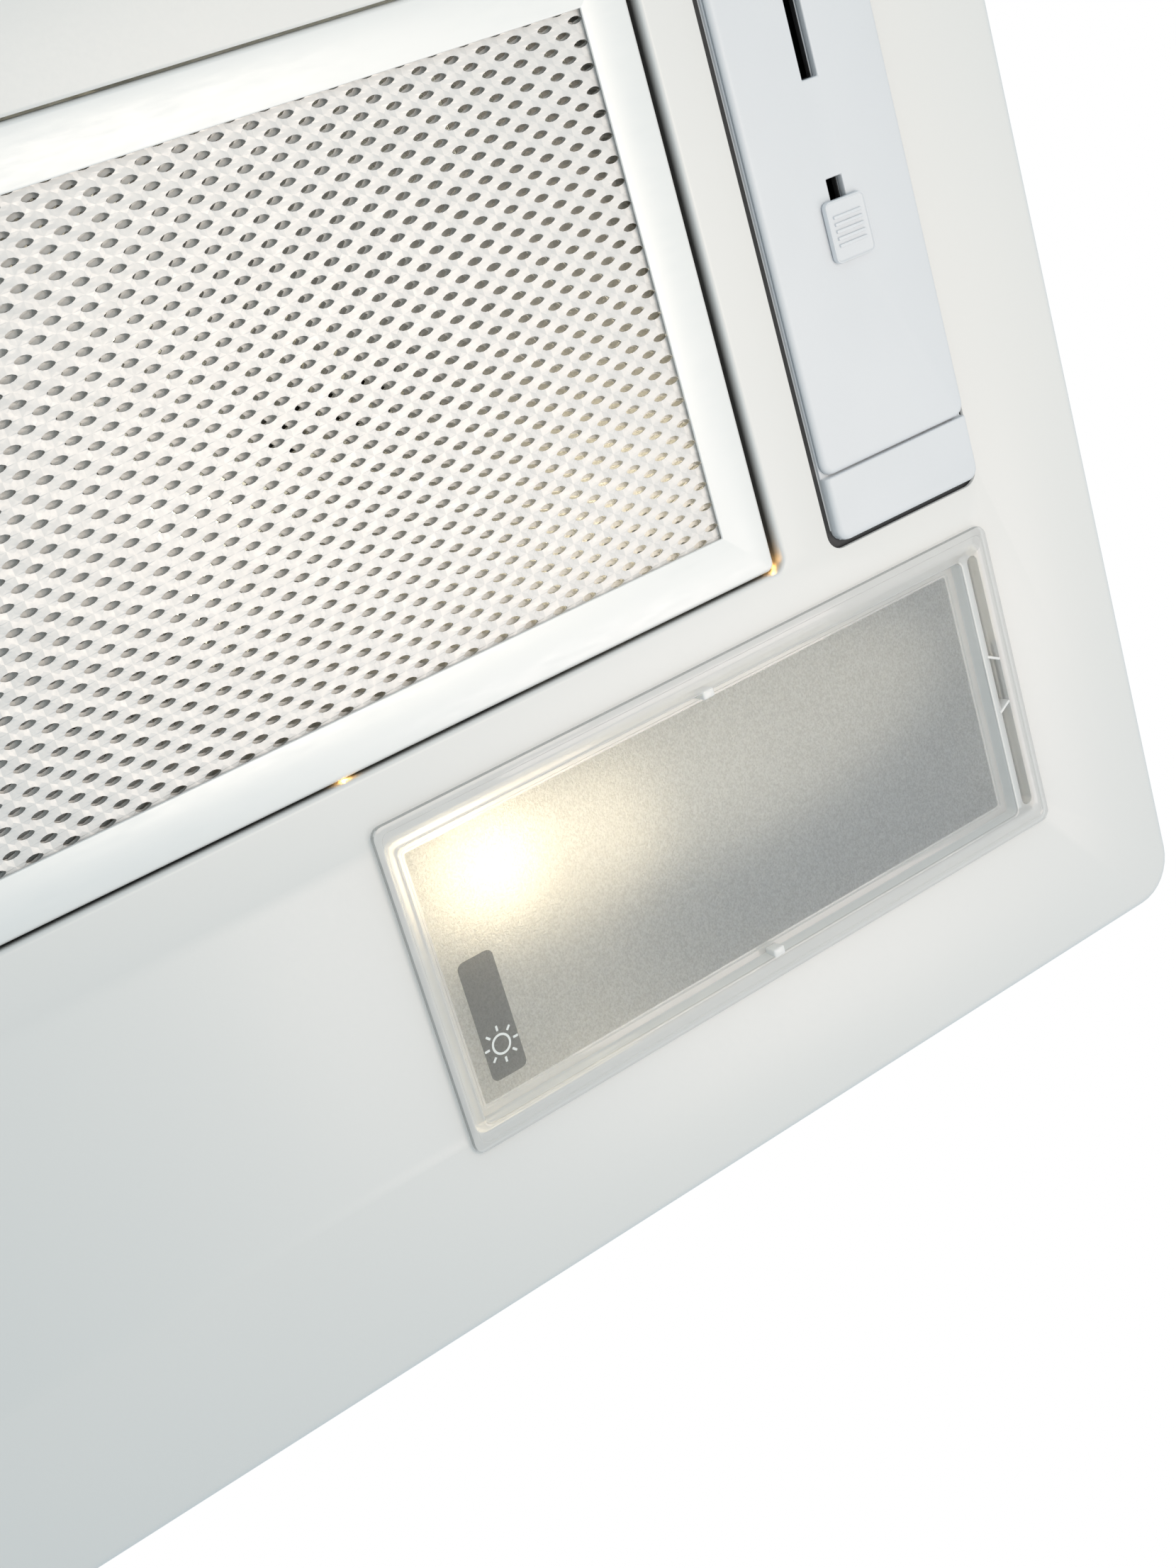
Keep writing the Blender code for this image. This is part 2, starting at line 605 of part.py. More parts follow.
# ---------------------------------------------------------------- electrical box
def make_terminal_box(looks):
    base = TOP_PLATE_Z[1] + GAP
    wall = 2.0
    low, high = (BOX_X[0], BOX_Y[0], base), (BOX_X[1], BOX_Y[1], BOX_TOP)
    tray = box("terminal_box", low, high, looks["black"], corner=3.0)
    hollow = box("terminal_hollow", [v + wall for v in low],
                 (high[0] - wall, high[1] - wall, BOX_TOP + REACH), corner=1.5)
    floor = box("terminal_floor_hole", (180.0, -21.0, base - REACH), (220.0, -9.0, base + REACH),
                corner=4.0)
    gland_x, gland_z = 200.0, base + 13.0
    wall_hole = rod("gland_hole", (gland_x, BOX_Y[1] - REACH, gland_z),
                    (gland_x, BOX_Y[1] + REACH, gland_z), 8.4, sides=24)
    cut(tray, hollow, floor, wall_hole)

    cover_z = BOX_TOP + GAP
    cover = box("terminal_cover", (BOX_X[0] - 1.0, BOX_Y[0] - 1.0, cover_z),
                (BOX_X[1] + 1.0, BOX_Y[1] + 1.0, cover_z + 2.4), looks["black"], corner=4.0)
    inset = wall + GAP
    plug = box("cover_plug", (BOX_X[0] + inset, BOX_Y[0] + inset, cover_z - 2.0),
               (BOX_X[1] - inset, BOX_Y[1] - inset, cover_z + 1.0), corner=1.2)
    join(cover, plug)

    block = box("terminal_block", (184.0, -46.0, base + wall + GAP), (216.0, -30.0, base + 17.0),
                looks["ceramic"])
    for i in range(3):
        x = 190.0 + 10.0 * i
        cut(block, rod(f"clamp_hole_{i}", (x, -38.0, base + 10.0), (x, -38.0, base + 20.0), 2.5,
                       sides=12))

    y = BOX_Y[1]
    gland = [(11.0, 14.0), (11.0, GAP), (8.0, GAP), (8.0, -10.0), (5.0, -10.0), (5.0, 8.0),
             (7.0, 14.0)]
    smooth(turned("cable_gland", gland, (gland_x, y, gland_z), (0, 1, 0), looks["black"],
                  sides=24, closed=True))


# ---------------------------------------------------------------- controls
def make_controls(looks):
    face = PANEL_Z - CONTROL_PROUD
    (x0, x1), (y0, y1) = CONTROL_X, CONTROL_Y
    plate_top = PANEL_Z
    floor = plate_top + GAP
    housing = box("control_housing", (x0, y0, face), (x1, y1, CONTROL_TOP), looks["control"],
                  corner=3.0, under=1.3)
    flange_z = PANEL_Z + SHEET + GAP
    flange = box("control_flange", (x0 - 4.4, y0 - 4.3, flange_z), (x1 + 4.4, y1 + 4.2, flange_z + 1.6),
                 corner=5.0)
    join(housing, flange)
    cavity = box("control_cavity", (x0 + 1.8, y0 + 1.8, floor + 1.8),
                 (x1 - 1.8, y1 - 1.8, CONTROL_TOP + REACH), corner=1.5)
    recess = box("control_recess", (x0 - REACH, y0 - REACH, face - REACH),
                 (x1 + REACH, CONTROL_SPLIT_Y + 0.2, floor))
    cut(housing, cavity, recess)

    plate = box("control_plate", (x0, y0, face), (x1, CONTROL_SPLIT_Y - 0.2, plate_top),
                looks["control"], corner=3.0, under=1.3)
    sliders = (("speed", SPEED_Y, SPEED_TRAVEL, 0.0), ("light", LIGHT_Y, LIGHT_TRAVEL, 1.0))
    for name, y, travel, behind in sliders:
        start, end = y - travel * behind - 4.6, y + travel * (1.0 - behind) + 4.6
        for target, tag in ((plate, "plate"), (housing, "floor")):
            cut(target, box(f"{name}_slot_{tag}", (KNOB_X - 2.3, start, face - REACH),
                            (KNOB_X + 2.3, end, floor + REACH)))
        knob = box(f"{name}_knob", (KNOB_X - 6.0, y - 7.0, PANEL_Z - CONTROL_PROUD - KNOB_PROUD),
                   (KNOB_X + 6.0, y + 7.0, face - GAP), looks["control"], corner=1.5, under=0.5)
        join(knob, box(f"{name}_stem", (KNOB_X - 1.8, y - 4.0, face - GAP - 0.5),
                       (KNOB_X + 1.8, y + 4.0, 14.0)))
        box(f"{name}_switch", (x0 + 2.1, start - 6.0, 14.0 + GAP), (x1 - 2.1, end + 6.0, 26.0),
            looks["black"])


# ---------------------------------------------------------------- lamps
def lens_window():
    """The recess of the lamp cover at its face: low corner and high corner in X and Y."""
    inner, outer, front, rear = LENS_BORDER
    return (LENS_X[0] + inner, LENS_Y[0] + front), (LENS_X[1] - outer, LENS_Y[1] - rear)


def make_lens_cover(hand, side, looks):
    top = PANEL_Z - GAP
    face = top - LENS_PROUD + GAP
    flange = mirrored((LENS_X[0], LENS_Y[0], face), (LENS_X[1], LENS_Y[1], top), side)
    cover = box(f"lens_cover_{hand}", *flange, looks["clear"], corner=2.5, under=0.5)
    (wx0, wy0), (wx1, wy1) = lens_window()
    pane_top = face + LENS_DEPTH + LENS_WALL
    outer = mirrored((wx0 - LENS_WALL, wy0 - LENS_WALL, face + 0.5),
                     (wx1 + LENS_WALL, wy1 + LENS_WALL, pane_top), side)
    inner = mirrored((wx0, wy0, face - REACH), (wx1, wy1, face + LENS_DEPTH), side)
    tab_y = LAMP_AXIS_Y - 9.0, LAMP_AXIS_Y + 9.0
    tab_low = PANEL_Z + SHEET + 0.4
    tab = mirrored((wx1, tab_y[0], tab_low), (wx1 + LENS_WALL + 1.8, tab_y[1], pane_top), side)
    join(cover, box(f"lens_tray_{hand}", *outer, corner=2.5), box(f"lens_tab_{hand}", *tab))
    cut(cover, box(f"lens_recess_{hand}", *inner, corner=1.5))
    pry = mirrored((LENS_X[1] - 2.2, LAMP_AXIS_Y - 4.0, face - REACH),
                   (LENS_X[1] + REACH, LAMP_AXIS_Y + 4.0, face + 0.7), side)
    cut(cover, box(f"lens_pry_notch_{hand}", *pry))


def make_lamp_housing(hand, side, looks):
    base = PANEL_Z + SHEET + GAP
    (x0, x1), (y0, y1) = LAMP_BOX_X, LAMP_BOX_Y
    body = mirrored((x0, y0, base), (x1, y1, LAMP_BOX_TOP), side)
    housing = box(f"lamp_housing_{hand}", *body, looks["zinc"], corner=4.0)
    f = LAMP_BOX_FLANGE
    join(housing, box(f"lamp_flange_{hand}",
                      *mirrored((x0 - f, y0 - f, base), (x1 + f, y1 + f, base + 0.8), side)))
    hollow = mirrored((x0 + 0.8, y0 + 0.8, base - REACH), (x1 - 0.8, y1 - 0.8, LAMP_BOX_TOP - 0.8),
                      side)
    cut(housing, box(f"lamp_hollow_{hand}", *hollow, corner=3.2))
    x = side * 228.0
    cut(housing, rod(f"lamp_lead_hole_{hand}", (x, LAMP_AXIS_Y, LAMP_BOX_TOP - REACH),
                     (x, LAMP_AXIS_Y, LAMP_BOX_TOP + REACH), 3.4, sides=12))


def make_lamp(hand, side, looks):
    start, end = HOLDER_X
    depth = 25.0
    holder = [(14.0, end - start), (14.0, 3.0), (12.0, 0.0), (7.4, 0.0), (7.4, depth),
              (0.0, depth), (0.0, end - start)]
    profile = [holder[-1], *holder[:-1]]
    body = as_mesh(turned(f"lampholder_{hand}", profile,
                          (side * start, LAMP_AXIS_Y, LAMP_AXIS_Z), (side, 0, 0),
                          looks["ceramic"], sides=24))
    body.data.materials.append(looks["ceramic"])
    foot = mirrored((start + 12.0, LAMP_AXIS_Y - 6.0, LAMP_AXIS_Z + 12.0),
                    (end - 3.0, LAMP_AXIS_Y + 6.0, LAMP_BOX_TOP - 0.8 - GAP), side)
    join(body, box(f"holder_foot_{hand}", *foot))

    # Candle shape: radius against the distance from the tip, then the screw cap
    shape = [(0.0, 0.0), (2.2, 2.0), (5.5, 9.0), (9.5, 19.0), (13.5, 31.0), (16.4, 42.0),
             (17.4, 51.0), (16.6, 59.0), (13.5, 66.0), (9.5, 71.0), (7.0, 75.0), (7.0, 96.0),
             (3.0, 99.0), (0.0, 99.0)]
    profile = [(r, s) for r, s in reversed(shape)]
    smooth(turned(f"bulb_{hand}", profile, (side * LAMP_TIP_X, LAMP_AXIS_Y, LAMP_AXIS_Z),
                  (side, 0, 0), looks["glass"], sides=20))


# ---------------------------------------------------------------- grease filter
def make_filter(looks):
    (y0, y1), x = FILTER_Y, FILTER_X
    low = PANEL_Z + FILTER_RECESS
    high = low + FILTER_THICK
    frame = box("filter_frame", (-x, y0, low), (x, y1, high), looks["aluminium"],
                corner=2.0, under=0.6)
    inner_x, inner_y = x - FRAME_FACE, (y0 + FRAME_FACE, y1 - FRAME_FACE)
    window = box("frame_window", (-inner_x, inner_y[0], low - REACH),
                 (inner_x, inner_y[1], high + REACH), corner=1.5)
    channel_x, channel_y = x - 1.0, (y0 + 1.0, y1 - 1.0)
    channel = box("frame_channel", (-channel_x, channel_y[0], low + FRAME_SHEET),
                  (channel_x, channel_y[1], high - FRAME_SHEET), corner=1.2)
    tongue_z = low + FRAME_SHEET + GAP
    slot = box("tongue_slot", (-TONGUE_X - 0.4, y0 - REACH, tongue_z - 0.4),
               (TONGUE_X + 0.4, y0 + REACH, tongue_z + 2.1))
    for i, tab_x in enumerate((-120.0, 120.0)):
        rest = PANEL_Z + FILTER_LIP + GAP
        join(frame, box(f"rear_tab_{i}", (tab_x - 8.0, y1 - 0.6, rest),
                        (tab_x + 8.0, y1 + 5.0, rest + 1.2)))
    cut(frame, window, channel, slot)

    mesh_x, mesh_y = channel_x - GAP, (channel_y[0] + GAP, channel_y[1] - GAP)
    first = low + FRAME_SHEET + GAP
    last = high - FRAME_SHEET - GAP
    layers = (("filter_front_mesh", first, first + MESH_SHEET),
              ("filter_core", first + MESH_SHEET + GAP, last - MESH_SHEET - GAP),
              ("filter_back_mesh", last - MESH_SHEET, last))
    for name, z0, z1 in layers:
        layer = box(name, (-mesh_x, mesh_y[0], z0), (mesh_x, mesh_y[1], z1), looks["aluminium"],
                    corner=1.5)
        cut(layer, box(f"{name}_cup_hole", (-CUP_X - GAP, channel_y[0] - REACH, z0 - REACH),
                       (CUP_X + GAP, CUP_Y[1] + GAP, z1 + REACH)))
    make_latch(low, tongue_z, looks)


def make_latch(face, tongue_z, looks):
    y0, y1 = CUP_Y
    top = face + FILTER_THICK - FRAME_SHEET - GAP
    cup = box("latch_cup", (-CUP_X, y0, face - 0.6), (CUP_X, y1, top), looks["control"],
              corner=2.0)
    join(cup, box("cup_flange", (-CUP_X - 3.0, y0 + 0.2, face - 0.5),
                  (CUP_X + 3.0, y1 + 3.0, face + 0.7), corner=3.0))
    hollow = box("cup_hollow", (-CUP_X + CUP_WALL, y0 + CUP_WALL, face - REACH),
                 (CUP_X - CUP_WALL, y1 - CUP_WALL, top - CUP_WALL), corner=1.0)
    slot = box("cup_slot", (-TONGUE_X - 0.4, y0 - REACH, tongue_z - 0.4),
               (TONGUE_X + 0.4, y0 + REACH, tongue_z + 2.1))
    cut(cup, hollow, slot)

    tip = FILTER_OPEN_Y[0] - 3.0
    grip_y = y0 + CUP_WALL + 5.0
    spring_z = tongue_z + 4.0
    slider = box("filter_latch", (-TONGUE_X, tip, tongue_z), (TONGUE_X, grip_y + 4.0, tongue_z + 1.6),
                 looks["control"])
    join(slider,
         box("latch_grip", (-20.0, grip_y, face - 0.6), (20.0, grip_y + 4.0, tongue_z + 1.0)),
         box("latch_seat", (-3.0, grip_y + 2.6, tongue_z + 1.0),
             (3.0, grip_y + 4.0, top - CUP_WALL - GAP)))
    make_spring("latch_spring", grip_y + 4.0 + GAP, y1 - CUP_WALL - GAP, spring_z, looks)


def make_spring(name, start, end, z, looks, turns=6, radius=1.3, wire=0.3):
    """A coil along Y, with its ends just clear of the faces that it presses on."""
    curve = bpy.data.curves.new(name, "CURVE")
    curve.dimensions = "3D"
    curve.bevel_depth = wire * MM
    curve.bevel_resolution = 1
    curve.use_fill_caps = True
    steps = turns * 6
    spline = curve.splines.new("POLY")
    spline.points.add(steps)
    low, high = start + wire, end - wire
    for i, point in enumerate(spline.points):
        angle = 2 * math.pi * i / 6
        point.co = (radius * math.cos(angle) * MM, (low + (high - low) * i / steps) * MM,
                    (z + radius * math.sin(angle)) * MM, 1.0)
    curve.materials.append(looks["steel"])
    obj = bpy.data.objects.new(name, curve)
    PARTS.objects.link(obj)
    return obj


# ---------------------------------------------------------------- internal leads
def smooth_route(points, per_span=3):
    """Points of one smooth curve through the route's own points."""
    first, last = Vector(points[0]), Vector(points[-1])
    ends = [first * 2 - Vector(points[1]), *map(Vector, points), last * 2 - Vector(points[-2])]
    route = [first]
    for a, b, c, d in zip(ends, ends[1:], ends[2:], ends[3:]):
        for i in range(1, per_span + 1):
            t = i / per_span
            route.append(0.5 * (2 * b + (c - a) * t + (2 * a - 5 * b + 4 * c - d) * t ** 2
                                + (3 * b - a - 3 * c + d) * t ** 3))
    return route


def make_lead(name, points, looks, radius=1.6):
    curve = bpy.data.curves.new(name, "CURVE")
    curve.dimensions = "3D"
    curve.bevel_depth = radius * MM
    curve.bevel_resolution = 1
    curve.use_fill_caps = True
    route = smooth_route(points)
    spline = curve.splines.new("POLY")
    spline.points.add(len(route) - 1)
    for point, place_mm in zip(spline.points, route):
        point.co = (*(place_mm * MM), 1.0)
    curve.materials.append(looks["cable"])
    PARTS.objects.link(bpy.data.objects.new(name, curve))


def make_leads(looks):
    inside, under = 207.0, 188.0
    holder_end = HOLDER_X[1] + GAP
    lamp_drop = [(228, LAMP_AXIS_Y, 84), (228, LAMP_AXIS_Y, 66), (220, LAMP_AXIS_Y, 51),
                 (holder_end, LAMP_AXIS_Y, LAMP_AXIS_Z)]
    make_lead("lamp_lead_right", [(208, -15, inside), (208, -15, under), (222, 30, 150),
                                  (228, 66, 110), *lamp_drop], looks)
    make_lead("lamp_lead_left", [(192, -15, inside), (192, -15, under), (180, -92, 180),
                                 (140, -122, 168), (60, -124, 162), (-60, -124, 162),
                                 (-150, -100, 155), (-212, 10, 135), (-228, 64, 110),
                                 *[(-x, y, z) for x, y, z in lamp_drop]], looks)
    make_lead("motor_lead", [(200, -15, inside), (200, -15, under), (190, -80, 172),
                             (140, -114, 158), (60, -116, 146), (-50, -116, 146),
                             (-108, -84, 140), (-112, -45, 124), (-98, -28, 120),
                             (MOTOR_X[0] - 2 * GAP, -28, 120)], looks)
    switch_x, switch_y = KNOB_X, LIGHT_Y - 3.0
    make_lead("control_lead", [(215, -15, inside), (215, -15, under), (236, -35, 140),
                               (switch_x, switch_y, 70), (switch_x, switch_y, 40),
                               (switch_x, switch_y, 26.0 + GAP)], looks)


# ---------------------------------------------------------------- assembly
def main():
    global PARTS, CUTTERS
    clear_scene()
    PARTS = new_collection("range_hood")
    CUTTERS = new_collection("cutters")
    looks = make_materials()
    make_base_panel(looks)
    make_casing(looks)
    make_top_plate(looks)
    make_brackets(looks)
    make_scroll(looks)
    make_impeller(looks)
    make_motor(looks)
    make_capacitor(looks)
    make_outlet(looks)
    make_terminal_box(looks)
    make_controls(looks)
    for side, hand in ((1, "right"), (-1, "left")):
        make_lens_cover(hand, side, looks)
        make_lamp_housing(hand, side, looks)
        make_lamp(hand, side, looks)
    make_filter(looks)
    make_leads(looks)


main()
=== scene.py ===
"""Looks of the under cabinet range hood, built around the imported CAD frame. Run by Blender 4.5.

Every piece sits in the frame's own metres: +X is the hood's right, +Y its rear, +Z up.
Sizes are written as millimetres times MM.
"""

import json
import math

import bmesh
import bpy
from mathutils import Matrix, Vector


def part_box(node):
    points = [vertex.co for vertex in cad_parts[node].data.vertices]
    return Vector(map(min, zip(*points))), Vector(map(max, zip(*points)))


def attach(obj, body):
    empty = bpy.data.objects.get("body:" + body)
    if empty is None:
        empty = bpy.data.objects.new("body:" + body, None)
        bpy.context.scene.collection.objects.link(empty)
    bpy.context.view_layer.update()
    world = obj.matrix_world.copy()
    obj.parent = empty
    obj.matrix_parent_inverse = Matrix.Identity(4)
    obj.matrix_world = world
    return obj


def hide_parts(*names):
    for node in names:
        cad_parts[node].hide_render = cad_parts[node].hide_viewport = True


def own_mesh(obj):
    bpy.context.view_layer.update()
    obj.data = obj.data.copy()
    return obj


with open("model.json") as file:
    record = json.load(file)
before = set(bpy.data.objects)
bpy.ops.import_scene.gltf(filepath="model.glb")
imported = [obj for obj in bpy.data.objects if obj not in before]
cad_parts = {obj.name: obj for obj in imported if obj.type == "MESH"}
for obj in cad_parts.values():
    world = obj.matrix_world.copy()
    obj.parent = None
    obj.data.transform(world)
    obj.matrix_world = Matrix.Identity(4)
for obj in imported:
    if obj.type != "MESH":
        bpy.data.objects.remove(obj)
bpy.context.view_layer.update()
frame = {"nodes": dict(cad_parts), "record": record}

MM = 0.001
RECORD = frame["record"]
BODY_OF = {node: body for body, nodes in RECORD["behaviour"]["bodies"].items() for node in nodes}
SLOT_OF = {row["node"]: row["material_slot"] for row in RECORD["subparts"]}

PANEL_LOW, PANEL_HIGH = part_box("base_panel")
SHEET = 1.0 * MM
CORNER_STEPS = 8
OWN_LOOKS = False    # tells add_piece to keep the materials that a mesh already has
UP, DOWN = Vector((0, 0, 1)), Vector((0, 0, -1))


# ---------------------------------------------------------------- material nodes
def add_node(tree, kind, settings=None, **inputs):
    made = tree.nodes.new(kind)
    for key, value in (settings or {}).items():
        setattr(made, key, value)
    for key, value in inputs.items():
        made.inputs[key.replace("_", " ")].default_value = value
    return made


def new_material(name, colour, roughness, metallic=0.0, sockets=None):
    made = bpy.data.materials.new(name)
    made.use_nodes = True
    shader = made.node_tree.nodes["Principled BSDF"]
    shader.inputs["Base Color"].default_value = (*colour, 1.0)
    shader.inputs["Roughness"].default_value = roughness
    shader.inputs["Metallic"].default_value = metallic
    for key, value in (sockets or {}).items():
        shader.inputs[key].default_value = value
    return made, made.node_tree, shader


def stretched_coords(tree, stretch=(1, 1, 1)):
    place = add_node(tree, "ShaderNodeTexCoord")
    scale = add_node(tree, "ShaderNodeMapping", Scale=stretch)
    tree.links.new(place.outputs["Object"], scale.inputs["Vector"])
    return scale.outputs["Vector"]


def noise(tree, coords, scale, detail=4.0, rough=0.55):
    made = add_node(tree, "ShaderNodeTexNoise", Scale=scale, Detail=detail, Roughness=rough)
    tree.links.new(coords, made.inputs["Vector"])
    return made.outputs["Fac"]


def remap(tree, value, low, high, start=0.3, end=0.7):
    made = add_node(tree, "ShaderNodeMapRange", From_Min=start, From_Max=end, To_Min=low,
                    To_Max=high)
    tree.links.new(value, made.inputs["Value"])
    return made.outputs["Result"]


def blend_colours(tree, factor, first, second):
    """A Mix node has the same socket names for each kind of data, so they go by number."""
    share_in, first_in, second_in, colour_out = 0, 6, 7, 2
    made = tree.nodes.new("ShaderNodeMix")
    made.data_type = "RGBA"
    made.inputs[first_in].default_value = (*first, 1.0)
    made.inputs[second_in].default_value = (*second, 1.0)
    tree.links.new(factor, made.inputs[share_in])
    return made.outputs[colour_out]


def bump(tree, shader, height, depth):
    made = add_node(tree, "ShaderNodeBump", Strength=1.0, Distance=depth)
    tree.links.new(height, made.inputs["Height"])
    tree.links.new(made.outputs["Normal"], shader.inputs["Normal"])


def finish(name, colour, other, roughness, spread, metallic=0.0, blotch=18.0, grain=900.0,
           depth=0.00002, stretch=(1, 1, 1), sockets=None):
    """A finish that drifts between two near colours, with a fine grain in its gloss and relief."""
    made, tree, shader = new_material(name, colour, roughness, metallic, sockets)
    coords = stretched_coords(tree, stretch)
    drift = remap(tree, noise(tree, coords, blotch, 3.0), 0.0, 1.0)
    tree.links.new(blend_colours(tree, drift, colour, other), shader.inputs["Base Color"])
    fine = noise(tree, coords, grain)
    tree.links.new(remap(tree, fine, roughness - spread, roughness + spread),
                   shader.inputs["Roughness"])
    bump(tree, shader, fine, depth)
    return made


def spangled(name, colour, other, roughness):
    """Zinc coating: flat crystals of slightly different grey and gloss."""
    crystals, spread = 95.0, 0.09
    made, tree, shader = new_material(name, colour, roughness, 0.85)
    coords = stretched_coords(tree)
    cells = add_node(tree, "ShaderNodeTexVoronoi", Scale=crystals, Randomness=1.0)
    tree.links.new(coords, cells.inputs["Vector"])
    grey = add_node(tree, "ShaderNodeSeparateColor")
    tree.links.new(cells.outputs["Color"], grey.inputs["Color"])
    tree.links.new(blend_colours(tree, grey.outputs["Red"], colour, other),
                   shader.inputs["Base Color"])
    tree.links.new(remap(tree, grey.outputs["Green"], roughness - spread, roughness + spread,
                         0, 1), shader.inputs["Roughness"])
    bump(tree, shader, noise(tree, coords, 420.0), 0.00003)
    return made


def frosted(name, colour, roughness, grain, depth):
    """Clear plastic with a stippled face: short fine marks that scatter the lamp's light."""
    dark_share, pale_share, spread = 0.80, 1.12, 0.10
    made, tree, shader = new_material(name, colour, roughness, 0.0, {
        "Transmission Weight": 0.76, "IOR": 1.40})
    marks = noise(tree, stretched_coords(tree, (1.0, 0.8, 1.0)), grain, 2.0, 0.7)
    dark = tuple(c * dark_share for c in colour)
    pale = tuple(min(1.0, c * pale_share) for c in colour)
    tree.links.new(blend_colours(tree, remap(tree, marks, 0.0, 1.0, 0.35, 0.65), dark, pale),
                   shader.inputs["Base Color"])
    tree.links.new(remap(tree, marks, roughness - spread, roughness + spread),
                   shader.inputs["Roughness"])
    bump(tree, shader, marks, depth)
    return made


def glowing(name, centre, warm, dim, bright, reach):
    """Lamp glass, brightest round its filament and dim towards both of its ends."""
    made, tree, shader = new_material(name, (0.95, 0.93, 0.88), 0.18, 0.0, {
        "Emission Color": (*warm, 1.0)})
    place = add_node(tree, "ShaderNodeTexCoord")
    offset = add_node(tree, "ShaderNodeVectorMath", {"operation": "DISTANCE"})
    offset.inputs[1].default_value = centre
    tree.links.new(place.outputs["Object"], offset.inputs[0])
    falloff = add_node(tree, "ShaderNodeMapRange", {"interpolation_type": "SMOOTHERSTEP"},
                       From_Min=0.0, From_Max=reach, To_Min=bright, To_Max=dim)
    tree.links.new(offset.outputs["Value"], falloff.inputs["Value"])
    tree.links.new(falloff.outputs["Result"], shader.inputs["Emission Strength"])
    return made


def fold_with_painted_shade(name, colour, deep, roughness, metallic, z_start, z_end):
    """A fold that goes up into the hood: its finish darkens with height to near black, as painted
    shade in the gap it lines.
    """
    made, tree, shader = new_material(name, colour, roughness, metallic)
    place = add_node(tree, "ShaderNodeTexCoord")
    parts = add_node(tree, "ShaderNodeSeparateXYZ")
    tree.links.new(place.outputs["Object"], parts.inputs["Vector"])
    share = remap(tree, parts.outputs["Z"], 0.0, 1.0, z_start, z_end)
    tree.links.new(blend_colours(tree, share, colour, deep), shader.inputs["Base Color"])
    bump(tree, shader, noise(tree, stretched_coords(tree), 900.0), 0.00001)
    return made


LOOKS = {
    "painted_steel": finish("satin_white_paint", (0.80, 0.80, 0.785), (0.785, 0.79, 0.78), 0.36,
                            0.05, blotch=9.0, grain=1400.0, depth=0.000012,
                            sockets={"Coat Weight": 0.15, "Coat Roughness": 0.25}),
    "galvanised_steel": spangled("zinc_coating", (0.60, 0.62, 0.64), (0.72, 0.74, 0.76), 0.40),
    "aluminium": finish("white_aluminium", (0.87, 0.885, 0.88), (0.84, 0.86, 0.86), 0.36, 0.06,
                        metallic=0.12, blotch=30.0, grain=700.0, depth=0.00001,
                        stretch=(0.15, 1, 1)),
    "control_plastic": finish("cool_grey_plastic", (0.73, 0.755, 0.785), (0.71, 0.735, 0.765), 0.42,
                              0.05, blotch=25.0, grain=2200.0, depth=0.000015),
    "clear_plastic": finish("clear_plastic", (0.97, 0.97, 0.96), (0.94, 0.94, 0.93), 0.10, 0.03,
                            blotch=40.0, grain=300.0, depth=0.000008,
                            sockets={"Alpha": 0.44, "Coat Weight": 1.0, "Coat Roughness": 0.03}),
    "ceramic": finish("glazed_ceramic", (0.82, 0.80, 0.75), (0.77, 0.75, 0.70), 0.30, 0.08,
                      blotch=60.0, grain=500.0, depth=0.00002),
    "black_plastic": finish("black_plastic", (0.030, 0.031, 0.033), (0.040, 0.041, 0.043), 0.45,
                            0.07, blotch=40.0, grain=1800.0, depth=0.00002),
    "grey_plastic": finish("grey_plastic", (0.23, 0.24, 0.25), (0.20, 0.21, 0.22), 0.50, 0.06,
                           blotch=20.0, grain=1500.0, depth=0.00002),
    "rubber": finish("rubber", (0.022, 0.022, 0.022), (0.035, 0.034, 0.033), 0.78, 0.08,
                     blotch=120.0, grain=2500.0, depth=0.00003),
    "bright_steel": finish("plated_steel", (0.66, 0.67, 0.68), (0.58, 0.59, 0.61), 0.28, 0.09,
                           metallic=1.0, blotch=90.0, grain=1200.0, depth=0.00001),
    "cable_sheath": finish("cable_sheath", (0.66, 0.66, 0.64), (0.60, 0.60, 0.58), 0.48, 0.06,
                           blotch=50.0, grain=1500.0, depth=0.00002),
}
# Painted shade: the lip round the filter goes from paint to near black with height, so the gap
# round the filter reads dark.
PANEL_FOLD_SHADE = fold_with_painted_shade("panel_fold_painted_shade", (0.78, 0.78, 0.765), (0.05, 0.05, 0.052), 0.45, 0.0,
                         PANEL_LOW.z + 0.9 * MM, PANEL_LOW.z + 3.6 * MM)
# Painted light: the core layers are a paler, less metallic copy of the mesh metal, lifting the
# shade deep inside the filter.
MESH_CORE_LIT = finish("expanded_metal_core_painted_light", (0.88, 0.87, 0.84), (0.82, 0.81, 0.78), 0.5, 0.08,
                   metallic=0.1, blotch=140.0, grain=900.0, depth=0.00002)
MESH_METAL = finish("expanded_metal", (0.80, 0.79, 0.775), (0.75, 0.74, 0.725), 0.40, 0.08,
                    metallic=0.2, blotch=140.0, grain=900.0, depth=0.00002)
# Painted shade: a darker grey copy of the clear plastic for the upright edges of the flange and the
# land, standing in for their dark edge lines.
CLEAR_EDGE_SHADE = finish("clear_plastic_edge_painted_shade", (0.46, 0.47, 0.46), (0.40, 0.41, 0.40), 0.12, 0.04,
                    blotch=60.0, grain=500.0, depth=0.000008, sockets={"Alpha": 0.62})
# Painted highlight: a whiter, more opaque copy of the clear plastic for the pane's upright walls.
TRAY_WALL_HIGHLIGHT = finish("tray_wall_painted_highlight", (0.84, 0.86, 0.86), (0.80, 0.82, 0.82), 0.12, 0.04, blotch=70.0,
                   grain=500.0, depth=0.000008, sockets={"Alpha": 0.70})
